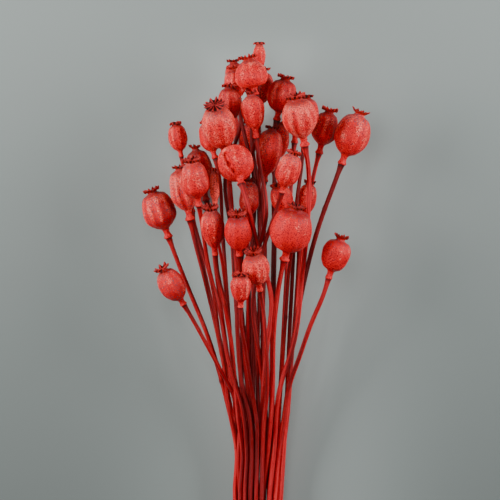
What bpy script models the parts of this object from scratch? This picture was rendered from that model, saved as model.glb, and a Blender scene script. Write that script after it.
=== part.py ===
"""A gathered bunch of dried poppy seed heads, lying on a surface.

Each poppy is one solid: a long stem, the collar where the flower sat, a short neck,
a ribbed capsule and a rayed crown. An elastic band holds the stems together.

+Y runs along the bunch from the cut stem ends to the heads, +Z is up, and the bunch
rests on the plane z = 0. Sizes and places in this file are millimetres, and the meshes
are made in metres.
"""
import math
from collections import namedtuple

import bmesh
import bpy
import numpy as np
from mathutils import Matrix, Vector

MM = 0.001
SEED = 7

# The arrangement is read from a picture of the bunch at one millimetre to a pixel.
MM_PER_PIXEL = 1.0
PIXEL_X_OF_MIDDLE = 256
PIXEL_Y_OF_CUT_ENDS = 640

# The space that stems and heads keep while they are laid out. It leaves their facets clear.
SPACING = 0.8

# The elastic band.
TIE_ALONG = 106.0
TIE_WIDTH = 6.0
TIE_THICKNESS = 1.3
TIE_POINTS = 32
TIE_CLEAR = 0.6
ROUND_POINTS = 16

# How far below the surface the heads that carry the bunch would reach: this much is flat.
PRESSED_FLAT = 1.0

# The outline of the gathered stems: along, half width, half height, middle across.
Waist = namedtuple("Waist", "along half_width half_height across")
WAIST = (
    Waist(-10, 30.0, 20.0, 3.0),
    Waist(60, 26.5, 18.5, 1.5),
    Waist(106, 24.5, 17.8, 0.5),
    Waist(140, 26.0, 19.5, 0.5),
    Waist(180, 25.5, 21.5, 2.5),
    Waist(220, 32.5, 27.0, 3.5),
    Waist(260, 40.0, 34.0, 1.0),
)
WAIST_FLOOR = 2.0
TWIST_DEGREES = 20.0
TWIST_SPREAD_DEGREES = 8.0
TWIST_WAYS = (-1.0, 1.0)
TWIST_END = 320.0
TWIST_RUN = 200.0
MOST_TWIST = 1.4
SPREAD_START = 130.0
LONGEST_TRIM = 9.0
WAIST_ROWS = 7
WAIST_FILL = 0.9

# Balls that stand for a head while the bunch is laid out: a row of them fills the capsule,
# a little proud to clear its ribs and facets, and small ones lie round the crown.
BALL_FACTOR = 1.035
CAPSULE_BALLS = 13
OUTLINE_SAMPLES = 160
CROWN_BALLS = 8
CROWN_BALL_RADIUS = 1.4
CROWN_BALL_INSET = 0.9

# The laying out of the stems: slices across the bunch, and rounds of pushing apart.
SLICE_STEP = 5.0
STEM_REACH = 4.0
ROUNDS = 700
GROW_ROUNDS = 330
STIFF_ROUNDS = 560

# What gives way when two are too close, and what draws them back, as shares in each round.
STEM_GIVES = 0.8
HEAD_GIVES = 0.3
HEADS_GIVE = 0.6
HEAD_GIVES_ACROSS = 0.35
OVERSHOOT = 1.3
LEAST_SHARE = 0.35
DRAWN_ACROSS = 0.12
DRAWN_UP = 0.03
STRAIGHTENED = 0.16
GUIDED = 0.2
CLEAR_OF_SURFACE = 0.6
TINY = 0.000001

STEM_POINTS = 12
STEM_LEAD = 13.0
THICK_END = 1.04
THIN_END = 0.96
STEM_FIRST_RUN = 15.0
WAIST_STATIONS = (62.0, 106.0, 146.0, 186.0)
FIRST_FREE_POINT = 5
MOST_BOW = 14.0
COLLAR_HEIGHT = 2.4
BELLY_HALF = 0.17
BELLY_FACTOR = 0.98
NECK_FACTOR = 0.62
NOTCH_FACTOR = 0.80
NOTCH_DROP = 0.25

# One row for each poppy, from the top of the picture down. The pixel is the middle of the
# capsule. Height is that of its middle above the surface. Lean is to the right in the
# picture, and nod is up off the surface. Belly is where the capsule is widest, from its
# foot. Lift is how far the crown's rays turn up. Ribs is a share of the capsule's radius.
Poppy = namedtuple(
    "Poppy",
    "name pixel_x pixel_y height lean nod length width belly rays crown lift collar neck stem ribs",
)
POPPIES = (
    Poppy("poppy_01", 258.0, 57.0, 60, 0, 0, 27, 12.5, 0.55, 8, 12.0, 0.4, 5.5, 6, 3.8, 0.02),
    Poppy("poppy_02", 249.0, 74.5, 81, -12, 2, 30, 34.0, 0.50, 10, 19.0, 1.0, 8.5, 7, 5.2, 0.02),
    Poppy("poppy_03", 257.5, 87.0, 50, 10, -3, 36, 28.0, 0.55, 9, 16.0, 2.0, 8.0, 8, 5.0, 0.02),
    Poppy("poppy_04", 235.0, 77.0, 38, -8, 0, 32, 20.0, 0.50, 7, 13.0, 0.5, 6.5, 7, 4.4, 0.02),
    Poppy("poppy_05", 233.5, 84.0, 62, -10, 4, 30, 21.0, 0.45, 8, 12.0, 1.5, 6.5, 7, 4.4, 0.02),
    Poppy("poppy_06", 229.0, 104.0, 73, 0, 10, 34, 24.0, 0.50, 9, 17.0, 2.0, 7.5, 8, 4.8, 0.02),
    Poppy("poppy_07", 221.5, 127.5, 104, -12, 35, 50, 36.0, 0.50, 10, 23.0, 2.5, 9.0, 8, 5.6, 0.02),
    Poppy("poppy_08", 252.0, 112.5, 92, -7, 10, 36, 23.5, 0.58, 8, 12.0, 2.5, 7.0, 9, 5.0, 0.02),
    Poppy("poppy_09", 280.5, 96.0, 62, 12, 4, 35, 29.0, 0.50, 10, 17.5, 1.5, 8.0, 8, 4.8, 0.03),
    Poppy("poppy_10", 298.0, 119.5, 105, -11, 16, 42, 35.5, 0.50, 10, 21.0, 1.5, 10.5, 8, 5.6, 0.045),
    Poppy("poppy_11", 304.0, 115.0, 72, 4, 5, 36, 26.0, 0.50, 9, 14.0, 0.5, 8.0, 8, 4.8, 0.02),
    Poppy("poppy_12", 324.0, 128.5, 50, 14, 3, 35, 25.0, 0.42, 9, 16.5, 1.5, 8.5, 9, 5.0, 0.03),
    Poppy("poppy_13", 350.5, 135.5, 75, 20, 4, 45, 35.0, 0.50, 9, 19.0, 4.0, 9.0, 9, 5.6, 0.02),
    Poppy("poppy_14", 176.5, 137.5, 48, -10, 0, 28, 19.0, 0.50, 8, 12.5, 0.3, 5.5, 6, 3.8, 0.02),
    Poppy("poppy_15", 208.0, 137.0, 56, -14, 0, 31, 21.0, 0.45, 7, 13.0, 1.0, 7.0, 7, 4.4, 0.02),
    Poppy("poppy_16", 197.5, 171.0, 48, -12, 8, 46, 26.0, 0.50, 8, 12.0, 4.0, 8.0, 8, 4.8, 0.02),
    Poppy("poppy_17", 194.0, 181.0, 100, -9, 18, 39, 27.5, 0.42, 9, 18.0, 1.5, 8.0, 8, 4.8, 0.02),
    Poppy("poppy_18", 182.5, 190.0, 74, -12, 8, 44, 27.0, 0.45, 9, 15.0, 3.5, 10.0, 10, 5.2, 0.05),
    Poppy("poppy_19", 231.5, 166.0, 88, -16, -32, 34, 35.0, 0.50, 10, 9.0, 1.0, 9.0, 7, 5.6, 0.02),
    Poppy("poppy_20", 267.0, 152.0, 66, 8, 2, 47, 26.0, 0.55, 9, 14.0, 1.0, 7.5, 7, 4.8, 0.02),
    Poppy("poppy_21", 277.0, 141.0, 44, 6, 0, 36, 22.0, 0.50, 7, 13.0, 1.0, 7.0, 7, 4.4, 0.02),
    Poppy("poppy_22", 247.0, 140.0, 48, 4, 0, 34, 20.0, 0.50, 7, 12.0, 1.0, 7.0, 7, 4.4, 0.02),
    Poppy("poppy_23", 287.0, 171.0, 95, 17, 16, 36, 24.0, 0.45, 9, 15.0, 2.0, 8.0, 6, 4.8, 0.02),
    Poppy("poppy_24", 213.5, 187.0, 82, -1, 10, 34, 9.5, 0.42, 6, 5.5, 0.2, 5.5, 5, 3.8, 0.06),
    Poppy("poppy_25", 249.0, 199.0, 71, 3, 6, 34, 20.0, 0.45, 8, 14.0, 2.5, 7.0, 7, 4.4, 0.02),
    Poppy("poppy_26", 280.5, 199.0, 70, -16, 8, 30, 22.0, 0.50, 8, 16.0, 0.8, 7.0, 7, 4.4, 0.02),
    Poppy("poppy_27", 305.5, 199.0, 54, 10, 0, 32, 19.0, 0.50, 7, 12.0, 2.0, 7.0, 7, 4.4, 0.02),
    Poppy("poppy_28", 211.5, 229.0, 100, -6, 22, 41, 23.5, 0.52, 10, 17.0, 1.5, 6.5, 8, 5.2, 0.02),
    Poppy("poppy_29", 237.0, 233.0, 108, -3, 27, 38, 26.5, 0.50, 11, 19.0, 1.5, 7.5, 7, 5.2, 0.02),
    Poppy("poppy_30", 289.5, 231.0, 108, 13, 18, 47, 40.5, 0.48, 10, 21.0, 2.0, 10.5, 9, 5.8, 0.02),
    Poppy("poppy_31", 158.0, 211.0, 66, -20, 7, 41, 33.5, 0.45, 10, 17.5, 1.5, 9.0, 9, 5.2, 0.03),
    Poppy("poppy_32", 171.0, 285.0, 86, -31, 14, 36, 25.5, 0.50, 8, 17.0, 3.5, 7.5, 6, 4.8, 0.02),
    Poppy("poppy_33", 334.0, 255.5, 86, 17, 6, 34, 29.5, 0.55, 8, 16.0, 5.0, 7.5, 8, 5.4, 0.02),
    Poppy("poppy_34", 254.5, 269.0, 114, -10, 26, 34, 27.0, 0.50, 11, 18.0, 1.5, 7.0, 8, 5.0, 0.02),
    Poppy("poppy_35", 240.0, 288.0, 117, 0, 14, 28, 20.5, 0.58, 9, 19.0, 0.2, 6.0, 6, 4.6, 0.02),
    Poppy("poppy_36", 187.0, 188.0, 12, -8, 0, 34, 26.0, 0.50, 7, 14.0, 1.5, 7.5, 8, 4.8, 0.02),
    Poppy("poppy_37", 224.0, 124.0, 12, -3, 0, 34, 26.0, 0.50, 7, 14.0, 1.5, 7.5, 8, 4.8, 0.02),
    Poppy("poppy_38", 296.0, 118.0, 12, 6, 0, 34, 26.0, 0.50, 7, 14.0, 1.5, 7.5, 8, 4.8, 0.02),
)
RESTING = ("poppy_36", "poppy_37", "poppy_38")

# Where the picture shows a stem between its head and the waist: pixels that it runs through.
STEM_PIXELS = {
    "poppy_07": ((222, 178), (227, 200), (232, 225), (236, 250)),
    "poppy_08": ((254, 143), (256.5, 165), (258, 190), (259, 215)),
    "poppy_10": ((304, 156), (309, 200), (309, 230), (304, 290), (299, 330), (293, 370)),
    "poppy_12": ((317, 157), (309, 182), (303, 210), (299, 250), (297, 290)),
    "poppy_13": ((337, 172), (325, 200), (316, 222), (308, 252), (301, 282), (290, 345)),
    "poppy_14": ((180, 162), (190, 200), (199, 228), (206, 252), (212, 278), (215, 302), (219, 330)),
    "poppy_17": ((198, 210), (202, 228), (208, 248), (214, 270), (219, 295), (224, 320)),
    "poppy_18": ((193.5, 230), (204, 280), (214, 320), (223, 362), (228, 385)),
    "poppy_19": ((243, 190), (248, 205), (254, 222), (259, 240), (264, 262), (267, 290)),
    "poppy_23": ((279, 192), (270, 212), (262, 228), (256, 245), (251, 265), (247, 300)),
    "poppy_28": ((217, 258), (219, 280), (223, 300), (227, 330), (231, 365), (236, 400)),
    "poppy_29": ((236, 252), (234, 275), (234, 300), (235, 330), (237, 360), (239, 385)),
    "poppy_30": ((282, 266), (278, 284), (274, 300), (272, 320), (271, 345)),
    "poppy_31": ((170, 245), (185, 285), (200, 318), (213, 348), (227, 405), (231, 440)),
    "poppy_32": ((190, 318), (210, 352), (222, 374), (233, 396), (243, 422), (249, 445)),
    "poppy_33": ((323, 288), (312, 315), (304, 337), (299, 353), (294, 375)),
    "poppy_34": ((260, 292), (263, 315), (265, 345), (267, 375), (268, 400)),
}
PIXEL_Y_OF_WAIST = 470
GUIDE_REACH = 12.0
LEAST_RISE = 20

LIT_RED = (0.52, 0.035, 0.03)
DEEP_RED = (0.24, 0.012, 0.012)
BAND_COLOUR = (0.42, 0.30, 0.17)


def head_axis(poppy):
    """The unit vector from a head's foot to its crown."""
    lean = math.radians(poppy.lean)
    nod = math.radians(poppy.nod)
    return np.array([math.sin(lean) * math.cos(nod), math.cos(lean) * math.cos(nod), math.sin(nod)])


def head_outline(poppy):
    """The (radius, height) rings of a head, from its foot to its crown's rim."""
    radius = poppy.width / 2
    crown = poppy.crown / 2
    neck = poppy.neck
    top = neck + poppy.length
    return [
        (poppy.stem / 2 + 0.9, 0.0),
        (poppy.collar / 2, COLLAR_HEIGHT),
        (poppy.stem * NECK_FACTOR, neck),
        (0.70 * radius, neck + 0.12 * poppy.length),
        (BELLY_FACTOR * radius, neck + (poppy.belly - BELLY_HALF) * poppy.length),
        (BELLY_FACTOR * radius, neck + (poppy.belly + BELLY_HALF) * poppy.length),
        (0.72 * radius, neck + 0.90 * poppy.length),
        (0.52 * crown, top),
        (crown, top + 1.0 + poppy.lift),
    ]


def crown_middle(poppy):
    """The height of the middle of the crown's top."""
    return poppy.neck + poppy.length + 1.8


def place_of_pixel(pixel_x, pixel_y):
    """How far across and along the bunch a pixel of the picture is."""
    across = (pixel_x - PIXEL_X_OF_MIDDLE) * MM_PER_PIXEL
    return across, (PIXEL_Y_OF_CUT_ENDS - pixel_y) * MM_PER_PIXEL


def inside_balls(poppy):
    """Balls that fill a head along its axis: (height, radius, distance from the axis)."""
    outline = head_outline(poppy)
    heights = np.array([ring[1] for ring in outline])
    radii = np.array([ring[0] for ring in outline])
    fine = np.linspace(heights[0], heights[-2], OUTLINE_SAMPLES)
    fine_radii = np.interp(fine, heights, radii)
    balls = []
    for height in np.linspace(heights[1], heights[-2] - 1.0, CAPSULE_BALLS):
        reach = np.sqrt((fine - height) ** 2 + fine_radii ** 2).min()
        balls.append((height, reach * BALL_FACTOR, 0.0))
    balls.append((heights[-1] - 0.5 * poppy.lift - 0.4, 0.5 * radii[-1], 0.0))
    for share in (0.5, 1.0):
        out = share * (radii[-1] - CROWN_BALL_INSET)
        height = heights[-2] + (0.6 + poppy.lift) * share
        balls.extend([(height, CROWN_BALL_RADIUS, out)] * CROWN_BALLS)
    return balls


def cross_directions(axis):
    """Two unit vectors across a head's axis."""
    side = np.cross(axis, (0.0, 0.0, 1.0))
    side /= np.linalg.norm(side)
    return side, np.cross(side, axis)


def ball_table():
    """The balls of all the heads: owner, offset from the capsule's middle, radius."""
    owner, offset, size = [], [], []
    for number, poppy in enumerate(POPPIES):
        axis = head_axis(poppy)
        side, up = cross_directions(axis)
        middle = poppy.neck + 0.5 * poppy.length
        for index, (height, reach, out) in enumerate(inside_balls(poppy)):
            turn = math.tau * index / CROWN_BALLS
            place = axis * (height - middle) + out * (math.cos(turn) * side + math.sin(turn) * up)
            owner.append(number)
            offset.append(place)
            size.append(reach)
    return np.array(owner), np.array(offset), np.array(size)


def waist_at(along):
    """Half width, half height and the middle across of the gathered stems."""
    stations = [row.along for row in WAIST]
    half_width = np.interp(along, stations, [row.half_width for row in WAIST])
    half_height = np.interp(along, stations, [row.half_height for row in WAIST])
    across = np.interp(along, stations, [row.across for row in WAIST])
    return half_width, half_height, across


class Layout:
    """Where every head and stem lies, pushed apart until none crosses another."""

    def __init__(self):
        self.rng = np.random.default_rng(SEED)
        count = len(POPPIES)
        self.axis = np.array([head_axis(poppy) for poppy in POPPIES])
        self.goal = np.array([
            [*place_of_pixel(poppy.pixel_x, poppy.pixel_y), poppy.height] for poppy in POPPIES
        ], dtype=float)
        self.head = self.goal.copy()
        self.foot_reach = np.array([poppy.neck + 0.5 * poppy.length for poppy in POPPIES])
        self.radius = np.array([poppy.stem / 2 for poppy in POPPIES])
        self.cut = self.rng.uniform(0.0, LONGEST_TRIM, count)
        self.owner, self.offset, self.size = ball_table()
        self.set_stations()
        self.find_guides()
        self.start_stems()
        self.set_slices()
        self.pair_balls()

    def feet(self):
        """The foot of each head, and the point on its axis that leads the stem in."""
        foot = self.head - self.axis * self.foot_reach[:, None]
        return foot, foot - self.axis * STEM_LEAD

    def set_stations(self):
        """How far along the bunch each point of each stem is. This never changes."""
        foot, lead = self.feet()
        rows = []
        for number in range(len(POPPIES)):
            start = self.cut[number]
            first = [start, start + STEM_FIRST_RUN, *WAIST_STATIONS[:-1]]
            free = np.linspace(WAIST_STATIONS[-1], lead[number, 1], STEM_POINTS - len(first) - 1)
            rows.append(np.concatenate([first, free, [foot[number, 1]]]))
        self.station = np.array(rows)

    def find_guides(self):
        """Which stem points have a place across that the picture gives, and that place."""
        self.guided = np.zeros(self.station.shape, dtype=bool)
        self.guide = np.zeros(self.station.shape)
        for number, poppy in enumerate(POPPIES):
            if poppy.name not in STEM_PIXELS:
                continue
            route = np.array([place_of_pixel(*pixel) for pixel in STEM_PIXELS[poppy.name]])[::-1]
            stations = self.station[number]
            above_start = stations > route[0, 1] - GUIDE_REACH
            self.guided[number] = above_start & (stations < route[-1, 1] + GUIDE_REACH)
            self.guided[number, -2:] = False
            self.guide[number] = np.interp(stations, route[:, 1], route[:, 0])

    def bearing(self, poppy):
        """On which side of the waist a stem comes in: its slope across where it is last seen."""
        pixel_x, pixel_y = STEM_PIXELS.get(poppy.name, ((poppy.pixel_x, poppy.pixel_y),))[-1]
        return (pixel_x - PIXEL_X_OF_MIDDLE) / max(PIXEL_Y_OF_WAIST - pixel_y, LEAST_RISE)

    def waist_places(self):
        """Where each stem starts in the waist: in rows by height, and across in each row."""
        count = len(POPPIES)
        bearings = np.array([self.bearing(poppy) for poppy in POPPIES])
        levels = (2 * np.arange(WAIST_ROWS) + 1) / WAIST_ROWS - 1
        chords = np.sqrt(1 - levels ** 2)
        ends = np.round(np.cumsum(chords) / chords.sum() * count).astype(int)
        by_height = np.argsort(self.goal[:, 2], kind="stable")
        places = np.zeros((count, 2))
        for level, chord, start, end in zip(levels, chords, [0, *ends[:-1]], ends):
            row = by_height[start:end]
            row = row[np.argsort(bearings[row], kind="stable")]
            across = (2 * np.arange(len(row)) + 1) / len(row) - 1
            places[row, 0] = across * chord * WAIST_FILL
            places[row, 1] = level * WAIST_FILL
        return places

    def start_stems(self):
        """Draw each stem as a smooth line from its place in the waist to its head."""
        foot, lead = self.feet()
        count = len(POPPIES)
        places = self.waist_places()
        self.stem = np.zeros((count, STEM_POINTS, 2))
        for number in range(count):
            place = places[number]
            twist = math.radians(TWIST_DEGREES * self.rng.choice(TWIST_WAYS))
            twist += math.radians(TWIST_SPREAD_DEGREES) * self.rng.uniform(-1, 1)
            if self.guided[number].any():
                twist = 0.0
            for index in range(STEM_POINTS):
                along = self.station[number, index]
                half_width, half_height, across = waist_at(along)
                turned = twist * np.clip((TWIST_END - along) / TWIST_RUN, 0.0, MOST_TWIST)
                cosine, sine = math.cos(turned), math.sin(turned)
                gathered = np.array([
                    across + half_width * (cosine * place[0] - sine * place[1]),
                    WAIST_FLOOR + half_height * (1.0 + sine * place[0] + cosine * place[1]),
                ])
                share = (along - SPREAD_START) / (lead[number, 1] - SPREAD_START)
                share = np.clip(share, 0.0, 1.0)
                self.stem[number, index] = gathered * (1 - share) + lead[number, ::2] * share
        self.stem[:, :, 0] = np.where(self.guided, self.guide, self.stem[:, :, 0])
        self.hold_ends()

    def hold_ends(self):
        """Fix each stem to its head, and keep its cut end square."""
        foot, lead = self.feet()
        self.stem[:, -1] = foot[:, ::2]
        self.stem[:, -2] = lead[:, ::2]
        self.stem[:, 0] = self.stem[:, 1]

    def set_slices(self):
        """How much each stem point counts in each slice across the bunch."""
        count = len(POPPIES)
        self.slices = np.arange(1.0, self.station.max(), SLICE_STEP)
        self.weight = np.zeros((count, len(self.slices), STEM_POINTS))
        self.present = np.zeros((count, len(self.slices)), dtype=bool)
        for number in range(count):
            stations = self.station[number]
            for index, along in enumerate(self.slices):
                if not stations[0] - 1.0 <= along <= stations[-1]:
                    continue
                low = int(np.clip(np.searchsorted(stations, along) - 1, 0, STEM_POINTS - 2))
                share = (along - stations[low]) / (stations[low + 1] - stations[low])
                self.weight[number, index, low] = 1 - share
                self.weight[number, index, low + 1] = share
                self.present[number, index] = True
        first, second = np.triu_indices(count, 1)
        both = self.present[first] & self.present[second]
        pair, index = np.nonzero(both)
        self.stem_pairs = first[pair], second[pair], index

    def pair_balls(self):
        """List the balls that can meet another head's balls or another's stem."""
        along = self.head[self.owner, 1] + self.offset[:, 1]
        first, second = np.triu_indices(len(self.owner), 1)
        reach = self.size[first] + self.size[second] + SPACING
        near = np.abs(along[first] - along[second]) < reach
        near &= self.owner[first] != self.owner[second]
        self.ball_pairs = first[near], second[near]
        near = np.abs(along[:, None] - self.slices) < self.size[:, None] + STEM_REACH
        ball, index = np.nonzero(near)
        owner = np.arange(len(POPPIES))
        number = np.tile(owner, len(ball))
        ball = np.repeat(ball, len(owner))
        index = np.repeat(index, len(owner))
        keep = (number != self.owner[ball]) & self.present[number, index]
        self.ball_stems = ball[keep], number[keep], index[keep]

    def add_stem_pushes(self, scale, shift, hits):
        """Stems that are too close to each other move apart, half the way each."""
        first, second, index = self.stem_pairs
        apart = self.points[first, index] - self.points[second, index]
        distance = np.linalg.norm(apart, axis=1) + TINY
        way = apart / distance[:, None]
        need = SPACING * scale
        for side in (first, second):
            slant = (self.slopes[side, index] * way).sum(axis=1)
            need = need + self.radius[side] * scale * np.sqrt(1 + slant ** 2)
        deep = need - distance
        hit = deep > 0
        step = way[hit] * deep[hit, None] * 0.5
        np.add.at(shift, (first[hit], index[hit]), step)
        np.add.at(shift, (second[hit], index[hit]), -step)
        np.add.at(hits, (first[hit], index[hit]), 1)
        np.add.at(hits, (second[hit], index[hit]), 1)

    def add_head_on_stem_pushes(self, scale, shift, hits, head_shift, head_hits):
        """A stem that is too close to a head's ball gives most of the way."""
        balls = self.head[self.owner] + self.offset
        ball, number, index = self.ball_stems
        apart = self.points[number, index] - balls[ball][:, ::2]
        distance = np.linalg.norm(apart, axis=1) + TINY
        away = self.slices[index] - balls[ball, 1]
        reach = self.size[ball] * scale + (self.radius[number] + SPACING) * scale
        deep = np.sqrt(np.maximum(reach ** 2 - away ** 2, 0.0)) - distance
        hit = deep > 0
        step = apart[hit] / distance[hit, None] * deep[hit, None]
        np.add.at(shift, (number[hit], index[hit]), step * STEM_GIVES)
        np.add.at(hits, (number[hit], index[hit]), 1)
        np.add.at(head_shift, self.owner[ball[hit]], -step * HEAD_GIVES)
        np.add.at(head_hits, self.owner[ball[hit]], 1)

    def add_head_pushes(self, scale, head_shift, head_hits):
        """Heads whose balls are too close to each other move apart."""
        balls = self.head[self.owner] + self.offset
        first, second = self.ball_pairs
        apart = balls[first] - balls[second]
        flat = apart[:, ::2]
        distance = np.linalg.norm(flat, axis=1) + TINY
        reach = (self.size[first] + self.size[second] + SPACING) * scale
        deep = np.sqrt(np.maximum(reach ** 2 - apart[:, 1] ** 2, 0.0)) - distance
        hit = deep > 0
        step = flat[hit] / distance[hit, None] * deep[hit, None] * HEADS_GIVE
        np.add.at(head_shift, self.owner[first[hit]], step)
        np.add.at(head_shift, self.owner[second[hit]], -step)
        np.add.at(head_hits, self.owner[first[hit]], 1)
        np.add.at(head_hits, self.owner[second[hit]], 1)

    def push(self, scale, freedom):
        """One round: push apart all that is closer than its grown size and spacing."""
        self.points = np.einsum("nmk,nkc->nmc", self.weight, self.stem)
        self.slopes = np.gradient(self.points, SLICE_STEP, axis=1)
        shift = np.zeros_like(self.points)
        hits = np.zeros(self.points.shape[:2])
        head_shift = np.zeros((len(POPPIES), 2))
        head_hits = np.zeros(len(POPPIES))
        self.add_stem_pushes(scale, shift, hits)
        self.add_head_on_stem_pushes(scale, shift, hits, head_shift, head_hits)
        self.add_head_pushes(scale, head_shift, head_hits)

        moved = head_shift / np.maximum(head_hits, 1)[:, None]
        self.head[:, 0] += moved[:, 0] * HEAD_GIVES_ACROSS
        self.head[:, 2] += moved[:, 1]
        average = shift / np.maximum(hits, 1)[:, :, None] * (hits > 0)[:, :, None]
        pushed = np.einsum("nmk,nmc->nkc", self.weight, average)
        share = np.einsum("nmk,nm->nk", self.weight, (hits > 0).astype(float))
        self.stem += pushed / np.maximum(share, LEAST_SHARE)[:, :, None] * OVERSHOOT
        self.settle(freedom)

    def settle(self, freedom):
        """Draw the heads to their places, straighten the stems and hold them all in."""
        self.head[:, 0] += (self.goal[:, 0] - self.head[:, 0]) * DRAWN_ACROSS * freedom
        self.head[:, 2] += (self.goal[:, 2] - self.head[:, 2]) * DRAWN_UP * freedom
        before = np.diff(self.station, axis=1)[:, :-1, None]
        after = np.diff(self.station, axis=1)[:, 1:, None]
        straight = (self.stem[:, :-2] * after + self.stem[:, 2:] * before) / (before + after)
        self.stem[:, 1:-1] += (straight - self.stem[:, 1:-1]) * STRAIGHTENED * freedom
        drawn = (self.guide - self.stem[:, :, 0]) * self.guided
        self.stem[:, :, 0] += drawn * GUIDED * freedom
        self.hold_stiff()
        self.hold_waist()
        self.hold_off_surface()
        self.hold_ends()

    def hold_stiff(self):
        """A dry stem is stiff: it bows up or down only a little between waist and head."""
        first = FIRST_FREE_POINT
        start, end = self.station[:, first, None], self.station[:, -2, None]
        share = (self.station[:, first:-1] - start) / (end - start)
        low, high = self.stem[:, first, 1, None], self.stem[:, -2, 1, None]
        straight = low + (high - low) * share
        bowed = self.stem[:, first:-1, 1]
        self.stem[:, first:-1, 1] = np.clip(bowed, straight - MOST_BOW, straight + MOST_BOW)

    def hold_waist(self):
        """Bring the stems that have left the waist's oval back to its edge."""
        half_width, half_height, across = waist_at(self.station)
        middle = WAIST_FLOOR + half_height
        room = self.radius[:, None]
        outside_x = (self.stem[:, :, 0] - across) / (half_width - room)
        outside_z = (self.stem[:, :, 1] - middle) / (half_height - room)
        size = np.hypot(outside_x, outside_z)
        held = (size > 1.0) & (self.station < WAIST[-1].along)
        factor = np.where(held, 1.0 / np.maximum(size, TINY), 1.0)
        self.stem[:, :, 0] = across + (self.stem[:, :, 0] - across) * factor
        self.stem[:, :, 1] = middle + (self.stem[:, :, 1] - middle) * factor

    def hold_off_surface(self):
        """Only the heads that carry the bunch touch the surface, and they stay on it."""
        lowest_stem = self.radius[:, None] + CLEAR_OF_SURFACE
        self.stem[:, :, 1] = np.maximum(self.stem[:, :, 1], lowest_stem)
        lowest = self.head[self.owner, 2] + self.offset[:, 2] - self.size
        for number, poppy in enumerate(POPPIES):
            if poppy.name in RESTING:
                belly = BELLY_FACTOR * poppy.width / 2 * (1 + poppy.ribs)
                self.head[number, 2] = belly - PRESSED_FLAT
            else:
                low = lowest[self.owner == number].min()
                self.head[number, 2] += max(0.0, CLEAR_OF_SURFACE - low)

    def solve(self):
        """Grow everything from thin to full size while pushing it apart."""
        for count in range(ROUNDS):
            scale = min(1.0, 0.25 + 0.75 * count / GROW_ROUNDS)
            left = max(0.0, 1.0 - max(0, count - GROW_ROUNDS) / (STIFF_ROUNDS - GROW_ROUNDS))
            self.push(scale, left)


def new_object(name, mesh, collection):
    """Wrap a mesh in an object of the given collection."""
    thing = bpy.data.objects.new(name, mesh)
    collection.objects.link(thing)
    return thing


def baked(thing, name):
    """The mesh of an object as its modifiers or its curve make it, with doubles merged."""
    graph = bpy.context.evaluated_depsgraph_get()
    mesh = bpy.data.meshes.new_from_object(thing.evaluated_get(graph))
    mesh.name = name
    shape = bmesh.new()
    shape.from_mesh(mesh)
    bmesh.ops.remove_doubles(shape, verts=shape.verts, dist=0.00002)
    shape.to_mesh(mesh)
    shape.free()
    return mesh


def stem_mesh(poppy, points, collection):
    """A tube through the stem's points, a little thicker towards its cut end."""
    curve = bpy.data.curves.new(poppy.name + "_stem", "CURVE")
    curve.dimensions = "3D"
    curve.bevel_depth = MM
    curve.bevel_resolution = 1
    curve.use_fill_caps = True
    spline = curve.splines.new("POLY")
    spline.points.add(len(points) - 1)
    for index, (point, place) in enumerate(zip(spline.points, points)):
        share = index / (len(points) - 1)
        point.co = (*(Vector(place) * MM), 1.0)
        point.radius = poppy.stem / 2 * (THICK_END - (THICK_END - THIN_END) * share)
    thing = new_object(curve.name, curve, collection)
    mesh = baked(thing, poppy.name)
    bpy.data.objects.remove(thing)
    return mesh


def head_mesh(poppy, collection):
    """A turned head, with its ribs raised and its crown cut into rays."""
    outline = head_outline(poppy)
    profile = [(0.0, crown_middle(poppy))] + outline[::-1] + [(0.0, 0.0)]
    mesh = bpy.data.meshes.new(poppy.name + "_head")
    edges = [(index, index + 1) for index in range(len(profile) - 1)]
    mesh.from_pydata([(radius * MM, 0.0, height * MM) for radius, height in profile], edges, [])
    thing = new_object(mesh.name, mesh, collection)
    turn = thing.modifiers.new("turn", "SCREW")
    turn.steps = 2 * poppy.rays
    turn.render_steps = turn.steps
    turn.use_merge_vertices = True
    turn.merge_threshold = 0.00001
    turned = baked(thing, poppy.name + "_turned")
    bpy.data.objects.remove(thing)
    shape_rays(poppy, turned)
    return turned


def shape_rays(poppy, mesh):
    """Raise every second line of points into ribs, and draw the notches of the crown in."""
    outline = head_outline(poppy)
    heights = np.array([ring[1] for ring in outline])
    radii = np.array([ring[0] for ring in outline])
    step = math.tau / (2 * poppy.rays)
    for vertex in mesh.vertices:
        x, y, z = (value / MM for value in vertex.co)
        radius = math.hypot(x, y)
        if radius < 0.5:
            continue
        ring = int(np.argmin(np.abs(heights - z) + np.abs(radii - radius)))
        on_rib = round(math.atan2(y, x) / step) % 2 == 0
        factor = 1.0
        if 3 <= ring <= 6:
            factor = 1.0 + poppy.ribs * (1 if on_rib else -1)
        if ring == len(outline) - 1 and not on_rib:
            factor = NOTCH_FACTOR
            z -= NOTCH_DROP * poppy.lift
        vertex.co = (x * factor * MM, y * factor * MM, z * MM)


def placed(mesh, poppy, foot, axis, turn):
    """Stand a head's mesh on its stem."""
    tilt = Vector((0, 0, 1)).rotation_difference(Vector(axis)).to_matrix().to_4x4()
    spin = Matrix.Rotation(turn, 4, "Z")
    mesh.transform(Matrix.Translation(Vector(foot) * MM) @ tilt @ spin)
    return mesh


def joined(name, stem, head, collection):
    """One solid of a stem and its head."""
    thing = new_object(name, stem, collection)
    other = new_object(name + "_head", head, collection)
    union = thing.modifiers.new("join", "BOOLEAN")
    union.operation = "UNION"
    union.solver = "EXACT"
    union.object = other
    mesh = baked(thing, name)
    bpy.data.objects.remove(thing)
    bpy.data.objects.remove(other)
    return mesh


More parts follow.
